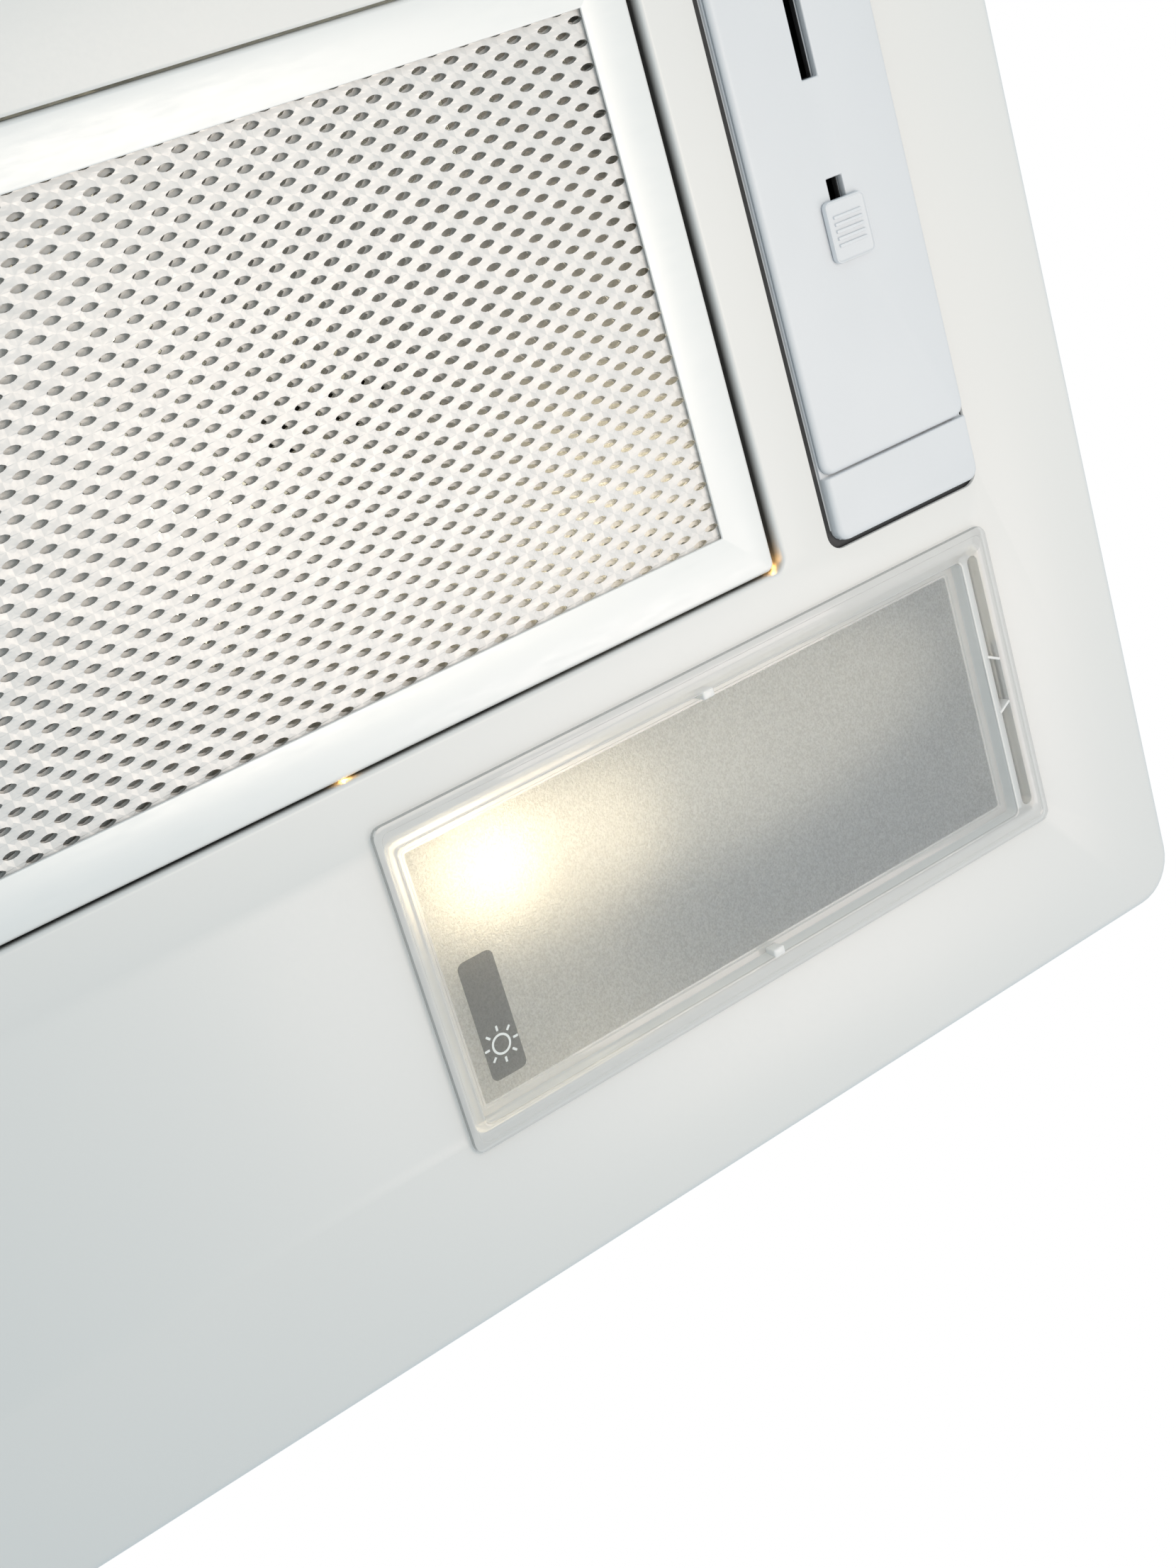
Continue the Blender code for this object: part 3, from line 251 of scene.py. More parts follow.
# Painted highlight: an almost opaque white copy of the clear plastic for the snap catch, its ribs
# and the clips, so they read as bright glints.
NUB_HIGHLIGHT = finish("moulded_nub_painted_highlight", (0.95, 0.95, 0.94), (0.92, 0.92, 0.91), 0.15, 0.05, blotch=90.0,
                   grain=500.0, depth=0.000008, sockets={"Alpha": 0.85})
# Painted highlight: a pale opaque grey for the block on the tray's land beside the frosted pane.
END_LAND_HIGHLIGHT = finish("tray_end_painted_highlight", (0.70, 0.72, 0.72), (0.66, 0.68, 0.68), 0.35, 0.05, blotch=60.0,
                  grain=800.0, depth=0.00001)
# Painted shadow: near black for a block in the end slot's snap notch.
NOTCH_SHADOW = finish("notch_painted_shadow", (0.10, 0.105, 0.10), (0.08, 0.085, 0.08), 0.5, 0.05, blotch=90.0,
                    grain=900.0, depth=0.00001)
# Painted shade: mid grey for the strip at the bottom of the end slot, standing in for the dark
# inside seen through it.
SLOT_SHADE = finish("slot_painted_shade", (0.50, 0.515, 0.51), (0.46, 0.475, 0.47), 0.5, 0.06, blotch=60.0,
                   grain=1200.0, depth=0.00001)
FROSTED = frosted("frosted_face", (0.83, 0.855, 0.87), 0.60, 2300.0, 0.00030)
LABEL = finish("grey_label", (0.16, 0.165, 0.165), (0.19, 0.195, 0.195), 0.50, 0.06, blotch=80.0,
               grain=900.0, depth=0.00001, sockets={"Alpha": 0.46})
ICON = finish("icon_print", (0.86, 0.88, 0.86), (0.80, 0.82, 0.80), 0.45, 0.05, blotch=200.0,
              grain=1500.0, depth=0.00001)


# ---------------------------------------------------------------- mesh helpers
def add_piece(name, mesh, node=None, look=None, body=None, slot=None):
    """Places a mesh on its body, standing for the CAD node it replaces.

    A piece without a node is extra detail, so it names its own body and slot.
    """
    obj = bpy.data.objects.new(name, mesh)
    bpy.context.scene.collection.objects.link(obj)
    body = body or BODY_OF[node]
    slot = slot or (SLOT_OF[node] if node else None)
    if look is not OWN_LOOKS:
        mesh.materials.clear()
        mesh.materials.append(look or LOOKS[slot])
    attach(obj, body)
    if node:
        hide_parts(node)
    return obj


def soften(obj, width, segments):
    """Small rounded edges, with the flat faces kept flat."""
    sharper_than = math.radians(35.0)
    obj.data.shade_smooth()
    bevel = obj.modifiers.new("Edges", "BEVEL")
    bevel.limit_method = "ANGLE"
    bevel.angle_limit = sharper_than
    bevel.width = width
    bevel.segments = segments
    bevel.harden_normals = True
    return obj


def cad_mesh(node):
    """A copy of a CAD node's mesh with its flat faces whole again."""
    same_place, same_plane = 0.002 * MM, math.radians(0.6)
    mesh = frame["nodes"][node].data.copy()
    bm = bmesh.new()
    bm.from_mesh(mesh)
    bmesh.ops.remove_doubles(bm, verts=bm.verts, dist=same_place)
    bmesh.ops.dissolve_limit(bm, angle_limit=same_plane, verts=bm.verts, edges=bm.edges)
    bm.to_mesh(mesh)
    bm.free()
    return mesh


def refined(node, width, segments=2):
    """A CAD node's own shape with its edges rounded."""
    return soften(add_piece(f"{node}_finish", cad_mesh(node), node), width, segments)


def rounded_rect(rect, radius, z, steps=CORNER_STEPS):
    """A closed ring of points round a rectangle (x0, y0, x1, y1) at one height."""
    least = 0.05 * MM    # keeps the points of a sharp corner apart
    x0, y0, x1, y1 = rect
    radius = max(radius, least)
    points = []
    corners = ((x1, y1, 0), (x0, y1, 90), (x0, y0, 180), (x1, y0, 270))
    for x, y, start in corners:
        cx = x - radius if x == x1 else x + radius
        cy = y - radius if y == y1 else y + radius
        for i in range(steps + 1):
            angle = math.radians(start + 90 * i / steps)
            points.append(Vector((cx + radius * math.cos(angle), cy + radius * math.sin(angle), z)))
    return points


def inset(rect, distance):
    x0, y0, x1, y1 = rect
    return (x0 + distance, y0 + distance, x1 - distance, y1 - distance)


def bridge(bm, rings, close=False):
    """Quads between one ring of points and the next; the rings all have the same count."""
    loops = [[bm.verts.new(p) for p in ring] for ring in rings]
    pairs = list(zip(loops, loops[1:]))
    if close:
        pairs.append((loops[-1], loops[0]))
    for a, b in pairs:
        for i in range(len(a)):
            j = (i + 1) % len(a)
            bm.faces.new((a[i], a[j], b[j], b[i]))
    return loops


def fill_between(bm, loops):
    """A flat face over the first loop with the other loops left open."""
    edges = []
    for loop in loops:
        for i, vert in enumerate(loop):
            edge = bm.edges.get((vert, loop[(i + 1) % len(loop)]))
            edges.append(edge or bm.edges.new((vert, loop[(i + 1) % len(loop)])))
    bmesh.ops.triangle_fill(bm, use_beauty=True, use_dissolve=False, edges=edges)


def mesh_from(bm, name):
    bmesh.ops.recalc_face_normals(bm, faces=bm.faces)
    mesh = bpy.data.meshes.new(name)
    bm.to_mesh(mesh)
    bm.free()
    return mesh


def smooth(obj, angle=38.0):
    """Smooth shading, apart from the edges that turn by more than the angle."""
    obj.data.shade_smooth()
    obj.data.set_sharp_from_angle(angle=math.radians(angle))


def paint_faces(obj, look, test):
    """Gives the faces whose centre passes the test another look."""
    obj.data.materials.append(look)
    index = len(obj.data.materials) - 1
    for polygon in obj.data.polygons:
        if test(polygon.center, polygon.normal):
            polygon.material_index = index


def block(bm, low, high, bevel=0.0, segments=2):
    """Adds a block between two corners to a mesh, with all its edges rounded."""
    low, high = Vector(low), Vector(high)
    matrix = Matrix.Translation((low + high) / 2) @ Matrix.Diagonal((*(high - low), 1.0))
    made = bmesh.ops.create_cube(bm, size=1.0, matrix=matrix)
    if bevel:
        edges = list({e for v in made["verts"] for e in v.link_edges})
        bmesh.ops.bevel(bm, geom=edges, offset=bevel, segments=segments, profile=0.5,
                        affect="EDGES")


def turned(profile, origin, axis, steps):
    """A turned mesh from (radius, height) pairs along an axis."""
    on_axis, merge = 0.01 * MM, 0.025 * MM
    turn = Vector(axis).to_track_quat("Z", "Y")
    bm = bmesh.new()
    rings = []
    for radius, height in profile:
        ring = []
        for i in range(steps):
            angle = 2 * math.pi * i / steps
            local = Vector((max(radius, on_axis) * math.cos(angle),
                            max(radius, on_axis) * math.sin(angle), height))
            ring.append(Vector(origin) + turn @ local)
        rings.append(ring)
    bridge(bm, rings)
    bmesh.ops.remove_doubles(bm, verts=bm.verts, dist=merge)
    bmesh.ops.holes_fill(bm, edges=[e for e in bm.edges if e.is_boundary], sides=0)
    return bm


def carve(obj, low, high):
    """Cuts a block out of a piece for good."""
    bm = bmesh.new()
    block(bm, low, high)
    cutter = bpy.data.objects.new("cutter", mesh_from(bm, "cutter"))
    bpy.context.scene.collection.objects.link(cutter)
    modifier = obj.modifiers.new("Cut", "BOOLEAN")
    modifier.operation = "DIFFERENCE"
    modifier.solver = "EXACT"
    modifier.object = cutter
    bpy.context.view_layer.update()
    evaluated = obj.evaluated_get(bpy.context.evaluated_depsgraph_get())
    mesh = bpy.data.meshes.new_from_object(evaluated)
    obj.modifiers.remove(modifier)
    obj.data = mesh
    bpy.data.objects.remove(cutter, do_unlink=True)


# ---------------------------------------------------------------- base panel
def rect_of(node):
    low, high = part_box(node)
    return (low.x, low.y, high.x, high.y)


def panel_skin(rect, z0, rim):
    """Rings from the face's underside, out round the rolled rim and back to its upper side."""
    corner, fold, rim_fold = 12 * MM, 3 * MM, 1.2 * MM
    flange, edge, inner = 11 * MM, 0.4 * MM, 1.4 * MM

    def level(distance, z):
        return rounded_rect(inset(rect, distance), corner - distance, z)

    def arc(centre_inset, centre_z, radius, start, end, steps):
        rings = []
        for i in range(steps + 1):
            a = math.radians(start + (end - start) * i / steps)
            rings.append(level(centre_inset - radius * math.sin(a),
                               centre_z - radius * math.cos(a)))
        return rings

    return (arc(fold, z0 + fold, fold, 0, 90, 8)
            + arc(rim_fold, rim - rim_fold, rim_fold, 90, 180, 4)
            + [level(flange - edge, rim), level(flange, rim - SHEET / 2),
               level(flange - edge, rim - SHEET), level(inner, rim - SHEET),
               level(SHEET, rim - inner)]
            + arc(fold, z0 + fold, fold - SHEET, 90, 0, 6))


def filter_lip(opening, z0):
    """Rings of the lip that is turned up into the hood round the filter's opening."""
    z1, top = z0 + SHEET, z0 + 6 * MM
    roll, soft, corner = 0.9 * MM, 0.4 * MM, 3 * MM

    def lip(distance, z):
        return rounded_rect(inset(opening, -distance), corner + distance, z)

    rings = []
    for i in range(6):
        a = math.radians(90 * i / 5)
        rings.append(lip(roll - roll * math.sin(a), z0 + roll - roll * math.cos(a)))
    return rings + [lip(0, top - soft), lip(0.3 * MM, top), lip(0.7 * MM, top),
                    lip(SHEET, top - soft), lip(SHEET, z1 + soft), lip(1.5 * MM, z1)]


def cut_rings(rect, radius, z0):
    """Rings through the sheet at a punched hole, with its lower edge softened."""
    z1, edge, burr = z0 + SHEET, 0.3 * MM, 0.1 * MM
    return [rounded_rect(inset(rect, -edge), radius + edge, z0),
            rounded_rect(inset(rect, -edge * 0.3), radius + edge * 0.3, z0 + edge * 0.3),
            rounded_rect(rect, radius, z0 + edge),
            rounded_rect(rect, radius, z1 - burr),
            rounded_rect(inset(rect, -burr), radius + burr, z1)]


def panel_cuts():
    """The holes behind the lens covers and the switch block, each with its corner radius."""
    cuts = []
    for hand in ("right", "left"):
        x0, y0, x1, y1 = rect_of(f"lens_cover_{hand}")
        near, far = (2.2 * MM, 1.8 * MM) if hand == "right" else (1.8 * MM, 2.2 * MM)
        cuts.append(((x0 + near, y0 + 4.1 * MM, x1 - far, y1 - 3.1 * MM), 3 * MM))
    x0, y0, x1, _ = rect_of("control_plate")
    rear_land, end_gap = 4.2 * MM, 1.6 * MM
    y1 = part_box("control_housing")[1].y - rear_land
    cuts.append(((x0 - 2.2 * MM, y0 - end_gap, x1 + 0.7 * MM, y1 + end_gap), 4 * MM))
    return cuts


def make_base_panel():
    """The folded tray: one sheet with a rolled rim and a lip turned up round the filter."""
    z0, z1 = PANEL_LOW.z, PANEL_LOW.z + SHEET
    side_gap, front_gap, rear_gap = 1.8 * MM, 0.6 * MM, 1.9 * MM
    x0, y0, x1, _ = rect_of("filter_frame")
    opening = (x0 - side_gap, y0 - front_gap, x1 + side_gap,
               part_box("filter_front_mesh")[1].y + rear_gap)

    bm = bmesh.new()
    outlines = [panel_skin(rect_of("base_panel"), z0, PANEL_HIGH.z), filter_lip(opening, z0)]
    outlines += [cut_rings(rect, radius, z0) for rect, radius in panel_cuts()]
    below, above = [], []
    for rings in outlines:
        loops = bridge(bm, rings)
        below.append(loops[0])
        above.append(loops[-1])
    fill_between(bm, below)
    fill_between(bm, above)
    panel = add_piece("base_panel_finish", mesh_from(bm, "base_panel_finish"), "base_panel")

    # The front lip is notched where the latch bolt slides over it.
    half_notch, before, behind, over = 16 * MM, 3 * MM, 2 * MM, 30 * MM
    carve(panel, (-half_notch, opening[1] - before, z1 + 0.3 * MM),
          (half_notch, opening[1] + behind, over))
    panel.data.materials.clear()
    panel.data.materials.append(LOOKS["painted_steel"])
    # The lip's faces round the filter opening take the painted shade.
    near = inset(opening, -1.6 * MM)
    paint_faces(panel, PANEL_FOLD_SHADE, lambda c, n: near[0] < c.x < near[2] and near[1] < c.y < near[3]
                and c.z > z0 + 0.75 * MM)
    smooth(panel, 32.0)


# ---------------------------------------------------------------- grease filter
def make_filter_frame():
    """One folded aluminium channel with hemmed inner edges, and its two rear tabs."""
    low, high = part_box("filter_frame")
    z0, z1 = low.z, high.z
    rect = (low.x, low.y, high.x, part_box("filter_front_mesh")[1].y + 1.3 * MM)
    face, sheet, bend, corner = 12.2 * MM, 0.8 * MM, 1.1 * MM, 2.0 * MM
    wall, inner_bend = 1.0 * MM, 0.5 * MM
    quarter = [math.radians(90 * i / 4) for i in range(5)]

    def level(distance, z):
        return rounded_rect(inset(rect, distance), corner - distance, z, 5)

    def hem(z, way):
        """The face's inner edge, folded back on itself."""
        half = sheet / 2
        return [level(face - half * (1 - math.sin(2 * a)), z + way * half * (1 - math.cos(2 * a)))
                for a in quarter]

    rings = [level(bend - bend * math.cos(a), z0 + bend - bend * math.sin(a)) for a in quarter]
    rings += hem(z0, 1)
    rings += [level(wall + inner_bend, z0 + sheet), level(wall, z0 + sheet + inner_bend),
              level(wall, z1 - sheet - inner_bend), level(wall + inner_bend, z1 - sheet)]
    rings += hem(z1, -1)[::-1]
    rings += [level(bend - bend * math.sin(a), z1 - bend + bend * math.cos(a)) for a in quarter]
    bm = bmesh.new()
    bridge(bm, rings, close=True)
    frame_piece = add_piece("filter_frame_finish", mesh_from(bm, "filter_frame_finish"),
                            "filter_frame")

    # The latch bolt comes out through a slot in the front wall.
    half_slot, slot_top = 8.4 * MM, 8.8 * MM
    slot_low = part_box("filter_latch")[0].z + 1.6 * MM
    carve(frame_piece, (-half_slot, low.y - 2 * MM, slot_low),
          (half_slot, low.y + 3 * MM, slot_top))
    frame_piece.data.materials.clear()
    frame_piece.data.materials.append(LOOKS["aluminium"])
    smooth(frame_piece, 40.0)

    half_tab, tab_low, tab_high = 8 * MM, 10.3 * MM, 11.5 * MM
    bm = bmesh.new()
    for x in (-120 * MM, 120 * MM):
        block(bm, (x - half_tab, rect[3] - 0.9 * MM, tab_low), (x + half_tab, high.y, tab_high),
              0.4 * MM)
    tabs = add_piece("filter_rear_tabs", mesh_from(bm, "filter_rear_tabs"), None,
                     LOOKS["aluminium"], "filter", "aluminium")
    smooth(tabs)


def mesh_cell(pitch, opening, points):
    """One cell of expanded metal: a place on its diamond edge, one on its lens-shaped hole, and
    the share of the strand's tilt, for each point round it."""
    corners = ((1, 0), (0, 1), (-1, 0), (0, -1), (1, 0))
    per_side = points // 4
    hole_pinch, tilt_pinch = 0.35, 0.3
    cell = []
    for k in range(points):
        angle = 2 * math.pi * k / points
        c, s = math.cos(angle), math.sin(angle)
        side, along = k // per_side, (k % per_side) / per_side
        (ax, ay), (bx, by) = corners[side], corners[side + 1]
        edge = ((ax + (bx - ax) * along) * pitch[0] / 2, (ay + (by - ay) * along) * pitch[1] / 2)
        hole = (opening[0] * c, opening[1] * s * abs(s) ** hole_pinch)
        cell.append((edge, hole, s * abs(s) ** tilt_pinch))
    return cell


def expanded_sheet(name, rect, gap, z, tilt, cell, pitch, phase):
    """Slit and stretched sheet metal: staggered lens-shaped holes between tilted strands.

    The sheet fills the rectangle apart from a gap that is open at the front.
    """
    merge, sliver = 0.02 * MM, 1e-10
    x0, y0, x1, y1 = rect
    gx0, gy0, gx1, gy1 = gap
    step_x, step_y = pitch
    reach_x, reach_y = step_x / 3, step_y / 3
    columns = int((x1 - x0) / step_x) + 3
    rows = int((y1 - y0) / (step_y / 2)) + 3
    verts, faces = [], []

    def clamp(x, y):
        x = min(max(x, x0), x1)
        y = min(max(y, y0), y1)
        if gx0 < x < gx1 and gy0 < y < gy1:
            sides = ((x - gx0, (gx0, y)), (gx1 - x, (gx1, y)), (gy1 - y, (x, gy1)))
            x, y = min(sides)[1]
        return x, y

    for j in range(rows):
        cy = y0 + (j - 1) * step_y / 2 + phase[1]
        for i in range(columns):
            cx = x0 + (i - 1 + (j % 2) / 2) * step_x + phase[0]
            on_sheet = x0 - reach_x < cx < x1 + reach_x and y0 - reach_y < cy < y1 + reach_y
            in_gap = gx0 + reach_x < cx < gx1 - reach_x and gy0 < cy < gy1 - reach_y
            if in_gap or not on_sheet:
                continue
            base = len(verts)
            for edge, hole, share in cell:
                verts.append((*clamp(cx + edge[0], cy + edge[1]), z))
                verts.append((*clamp(cx + hole[0], cy + hole[1]), z + share * tilt))
            for k in range(len(cell)):
                a, b = base + 2 * k, base + 2 * ((k + 1) % len(cell))
                faces.append((a, a + 1, b + 1, b))
    mesh = bpy.data.meshes.new(name)
    mesh.from_pydata(verts, [], faces)
    bm = bmesh.new()
    bm.from_mesh(mesh)
    bmesh.ops.remove_doubles(bm, verts=bm.verts, dist=merge)
    slivers = [f for f in bm.faces if f.calc_area() < sliver]
    bmesh.ops.delete(bm, geom=slivers, context="FACES")
    bm.to_mesh(mesh)
    bm.free()
    return mesh


def make_filter_mesh():
    """Four layers of expanded metal, the front one finer than those behind it."""
    hidden = 4.0 * MM       # border that the frame covers, so it is left out
    cup_rim = 2.7 * MM      # flange of the finger cup that laps over the mesh
    # Name, node, place in the node's height, tilt, thickness, points round a hole, start of the
    # pattern, pitch and half the hole's size. Lengths are in millimetres.
    layers = (
        ("filter_front_mesh_finish", "filter_front_mesh", 0.5, 0.20, 0.38, 12,
         (1.6, 0.6), (8.0, 4.93), (1.95, 0.82)),
        ("filter_core_mesh_1", "filter_core", 0.2, 0.30, 0.35, 8,
         (3.1, 1.9), (8.24, 5.06), (2.5, 1.35)),
        ("filter_core_mesh_2", "filter_core", 0.75, 0.30, 0.35, 8,
         (0.4, 0.2), (7.9, 5.2), (2.5, 1.35)),
        ("filter_back_mesh_finish", "filter_back_mesh", 0.5, 0.26, 0.34, 8,
         (2.2, 1.1), (8.0, 4.93), (2.45, 1.30)),
    )
    cup_low, cup_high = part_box("latch_cup")
    for name, node, share, tilt, thickness, points, start, pitch, opening in layers:
        low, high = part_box(node)
        gap = (cup_low.x + cup_rim, low.y - 5 * MM, cup_high.x - cup_rim, cup_high.y - cup_rim)
        pitch = [length * MM for length in pitch]
        cell = mesh_cell(pitch, [length * MM for length in opening], points)
        mesh = expanded_sheet(name, inset(rect_of(node), hidden), gap,
                              low.z + (high.z - low.z) * share, tilt * MM, cell, pitch,
                              [length * MM - hidden for length in start])
        # The core layers take the paler copy of the mesh metal as painted light.
        obj = add_piece(name, mesh, node, MESH_CORE_LIT if node == "filter_core" else MESH_METAL)
        obj.data.shade_flat()
        shell = obj.modifiers.new("Thickness", "SOLIDIFY")
        shell.thickness = thickness * MM
        shell.offset = 0.0


def make_latch():
    """Finger cup, bolt, and the compression spring behind the bolt with its closed end coils."""
    refined("latch_cup", 0.35 * MM, 3)
    refined("filter_latch", 0.35 * MM, 3)
    low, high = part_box("latch_spring")
    wire = 0.3 * MM
    radius = (high.x - low.x) / 2 - wire
    centre_z = (low.z + high.z) / 2
    turns, steps, closed = 9, 14, 0.06
    curve = bpy.data.curves.new("latch_spring_finish", "CURVE")
    curve.dimensions = "3D"
    curve.bevel_depth = wire
    curve.bevel_resolution = 3
    curve.use_fill_caps = True
    spline = curve.splines.new("POLY")
    spline.points.add(turns * steps)
    start, end = low.y + wire, high.y - wire
    for i, point in enumerate(spline.points):
        share = i / (turns * steps)
        along = min(max((share - closed) / (1 - 2 * closed), 0.0), 1.0)
        angle = 2 * math.pi * i / steps
        point.co = (radius * math.cos(angle), start + (end - start) * along,
                    centre_z + radius * math.sin(angle), 1.0)
    obj = bpy.data.objects.new("latch_spring_finish", curve)
    bpy.context.scene.collection.objects.link(obj)
    mesh = bpy.data.meshes.new_from_object(obj.evaluated_get(
        bpy.context.evaluated_depsgraph_get()))
    bpy.data.objects.remove(obj, do_unlink=True)
    mesh.shade_smooth()
    spring = add_piece("latch_spring_finish", mesh, "latch_spring")
    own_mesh(spring)


# ---------------------------------------------------------------- controls
def make_knob(name):
    """A slide knob whose finger face stands back behind five moulded ribs."""
    face_step, rib_pitch, rib_height, rib_edge = 0.55 * MM, 1.6 * MM, 0.75 * MM, 0.15 * MM
    half_length, half_width = 4.2 * MM, 0.35 * MM
    low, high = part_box(name)
    obj = refined(name, 0.3 * MM, 3)
    for vertex in obj.data.vertices:
        if vertex.co.z < low.z + 0.05 * MM:
            vertex.co.z += face_step
    middle = (low + high) / 2
    bm = bmesh.new()
    for i in range(-2, 3):
        y = middle.y + i * rib_pitch
        block(bm, (middle.x - half_length, y - half_width, low.z),
              (middle.x + half_length, y + half_width, low.z + rib_height), rib_edge)
    ribs = add_piece(f"{name}_grip_ribs", mesh_from(bm, f"{name}_grip_ribs"), None,
                     LOOKS["control_plastic"], BODY_OF[name], "control_plastic")
    smooth(ribs)


def make_controls():
    """The switch block. Its housing's faces above the panel's sheet are given black plastic as
    painted shade, so the gaps round the block look dark.
    """
    refined("control_plate", 0.4 * MM, 3)
    housing = refined("control_housing", 0.4 * MM, 3)
    # Painted shade: the housing's faces above the panel's sheet take black plastic so the gaps
    # round the switch block read dark.
    paint_faces(housing, LOOKS["black_plastic"], lambda c, n: c.z > PANEL_LOW.z + SHEET)
    make_knob("speed_knob")
    make_knob("light_knob")
    refined("speed_switch", 0.4 * MM)
    refined("light_switch", 0.4 * MM)


# ---------------------------------------------------------------- lamps
def mirror_mesh(mesh):
    """Makes the left-hand one of a right-hand mesh."""
    mesh.transform(Matrix.Scale(-1, 4, Vector((1, 0, 0))))
    mesh.flip_normals()


def lens_mesh():
    """The right-hand cover: a flange round a shallow frosted tray, with a long slot at its end."""
    low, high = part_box("lens_cover_right")
    outer = (low.x, low.y, high.x, high.y)
    face, back, floor, pane_top = (low.z + rise * MM for rise in (0.0, 1.5, 3.5, 5.0))
    window = (outer[0] + 4.5 * MM, outer[1] + 6.4 * MM, outer[2] - 9.9 * MM, outer[3] - 5.4 * MM)
    slot = (outer[2] - 7.6 * MM, outer[1] + 6.2 * MM, outer[2] - 4.5 * MM, outer[3] - 6.4 * MM)
    tray = (window[0] - 1.5 * MM, window[1] - 1.5 * MM, outer[2] - 2.6 * MM, window[3] + 1.5 * MM)
    corner = 2.6 * MM

    def level(rect, distance, radius, z):
        return rounded_rect(inset(rect, distance), radius, z, 6)

    bm = bmesh.new()
    shell = bridge(bm, [
        level(tray, 0.4 * MM, 2.0 * MM, pane_top),
        level(tray, 0.0, 2.4 * MM, pane_top - 0.4 * MM),
        level(tray, 0.0, 2.4 * MM, back),
        level(outer, 0.25 * MM, corner - 0.25 * MM, back),
        level(outer, 0.0, corner, back - 0.25 * MM),
        level(outer, 0.0, corner, face + 0.45 * MM),
        level(outer, 0.13 * MM, corner - 0.13 * MM, face + 0.13 * MM),
        level(outer, 0.45 * MM, corner - 0.45 * MM, face),
        level(outer, 1.7 * MM, corner - 0.6 * MM, face),
        level(outer, 1.95 * MM, corner - 0.7 * MM, face + 0.22 * MM)])
    pane = bridge(bm, [
        level(window, -0.9 * MM, 2.1 * MM, face + 0.22 * MM),
        level(window, -0.55 * MM, 1.9 * MM, face + 0.05 * MM),
        level(window, -0.2 * MM, 1.7 * MM, face + 0.12 * MM),
        level(window, 0.0, 1.5 * MM, face + 0.45 * MM),
        level(window, 0.25 * MM, 1.4 * MM, floor - 0.6 * MM),
        level(window, 0.5 * MM, 1.2 * MM, floor - 0.1 * MM),
        level(window, 1.0 * MM, 1.0 * MM, floor),
        level(window, 2.0 * MM, 1.0 * MM, floor),
        level(window, 2.3 * MM, 0.9 * MM, floor + 0.30 * MM),
        level(window, 2.8 * MM, 0.8 * MM, floor + 0.30 * MM)])
    groove = bridge(bm, [
        level(slot, -0.25 * MM, 1.8 * MM, face + 0.22 * MM),
        level(slot, -0.05 * MM, 1.6 * MM, face + 0.30 * MM),
        level(slot, 0.0, 1.55 * MM, face + 0.6 * MM),
        level(slot, 0.15 * MM, 1.4 * MM, floor + 0.3 * MM)])
    fill_between(bm, [shell[-1], pane[0], groove[0]])
    fill_between(bm, [groove[-1]])
    clear_faces = len(bm.faces)
    fill_between(bm, [pane[-1]])
    fill_between(bm, [shell[0]])
    bm.faces.ensure_lookup_table()
    frosted_look = 1
    for index in range(clear_faces, len(bm.faces)):
        bm.faces[index].material_index = frosted_look
    mesh = mesh_from(bm, "lens")

    rim, land = inset(outer, 0.6 * MM), inset(window, 1.9 * MM)
    # Upright faces at the flange's outside and the land take the darker copy as painted shade; the
    # pane's walls take the whiter copy as painted highlight.
    clear, edge, wall = 0, 2, 3
    for polygon in mesh.polygons:
        x, y, z = polygon.center
        upright = abs(polygon.normal.z) < 0.5
        in_rim = rim[0] < x < rim[2] and rim[1] < y < rim[3]
        in_land = land[0] < x < land[2] and land[1] < y < land[3]
        in_window = window[0] - 0.1 * MM < x < window[2] + 0.1 * MM
        if polygon.material_index == clear and upright:
            if in_land or not in_rim:
                polygon.material_index = edge
            elif in_window:
                polygon.material_index = wall
    return mesh, window, slot, face, floor, pane_top


def lens_details(window, slot, face, floor, pane_top):
    """Snap catch across the end slot and the moulded clips at the tray's long sides."""
    half_catch, half_rib, half_clip = 9 * MM, 0.35 * MM, 1.1 * MM
    rib_lean = math.radians(28)
    bm = bmesh.new()
    low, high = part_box("lens_cover_right")
    middle = (low.y + high.y) / 2
    block(bm, (high.x - 2.6 * MM, middle - half_catch, pane_top - 1.6 * MM),
          (high.x - 0.9 * MM, middle + half_catch, pane_top - 0.05 * MM), 0.3 * MM)
    for y, lean in ((middle - 6.6 * MM, 1), (middle + 6.2 * MM, -1)):
        before = set(bm.verts)
        block(bm, (slot[0] - 0.9 * MM, y - half_rib, face + 0.03 * MM),
              (slot[2] + 0.2 * MM, y + half_rib, floor + 0.2 * MM), 0.2 * MM)
        bmesh.ops.rotate(bm, verts=[v for v in bm.verts if v not in before],
                         cent=((slot[0] + slot[2]) / 2, y, floor),
                         matrix=Matrix.Rotation(rib_lean * lean, 3, "Z"))
    clip_x = low.x + 88.4 * MM
    for y in (window[1] + 0.5 * MM, window[3] - 0.5 * MM):
        block(bm, (clip_x, y - half_clip, face + 0.05 * MM),
              (clip_x + 3.3 * MM, y + half_clip, floor + 0.2 * MM), 0.45 * MM, 3)
    return mesh_from(bm, "lens_details")


def notch_shadow_mesh(slot, floor):
    """A dark block at the bottom of the snap notch in the middle of the end slot, as painted
    shadow.
    """
    low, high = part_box("lens_cover_right")
    middle = (low.y + high.y) / 2
    bm = bmesh.new()
    block(bm, (slot[0] + 0.25 * MM, middle - 5.9 * MM, floor - 0.35 * MM),
          (slot[0] + 1.9 * MM, middle + 5.5 * MM, floor + 0.15 * MM), 0.12 * MM)
    return mesh_from(bm, "snap_notch_shadow")


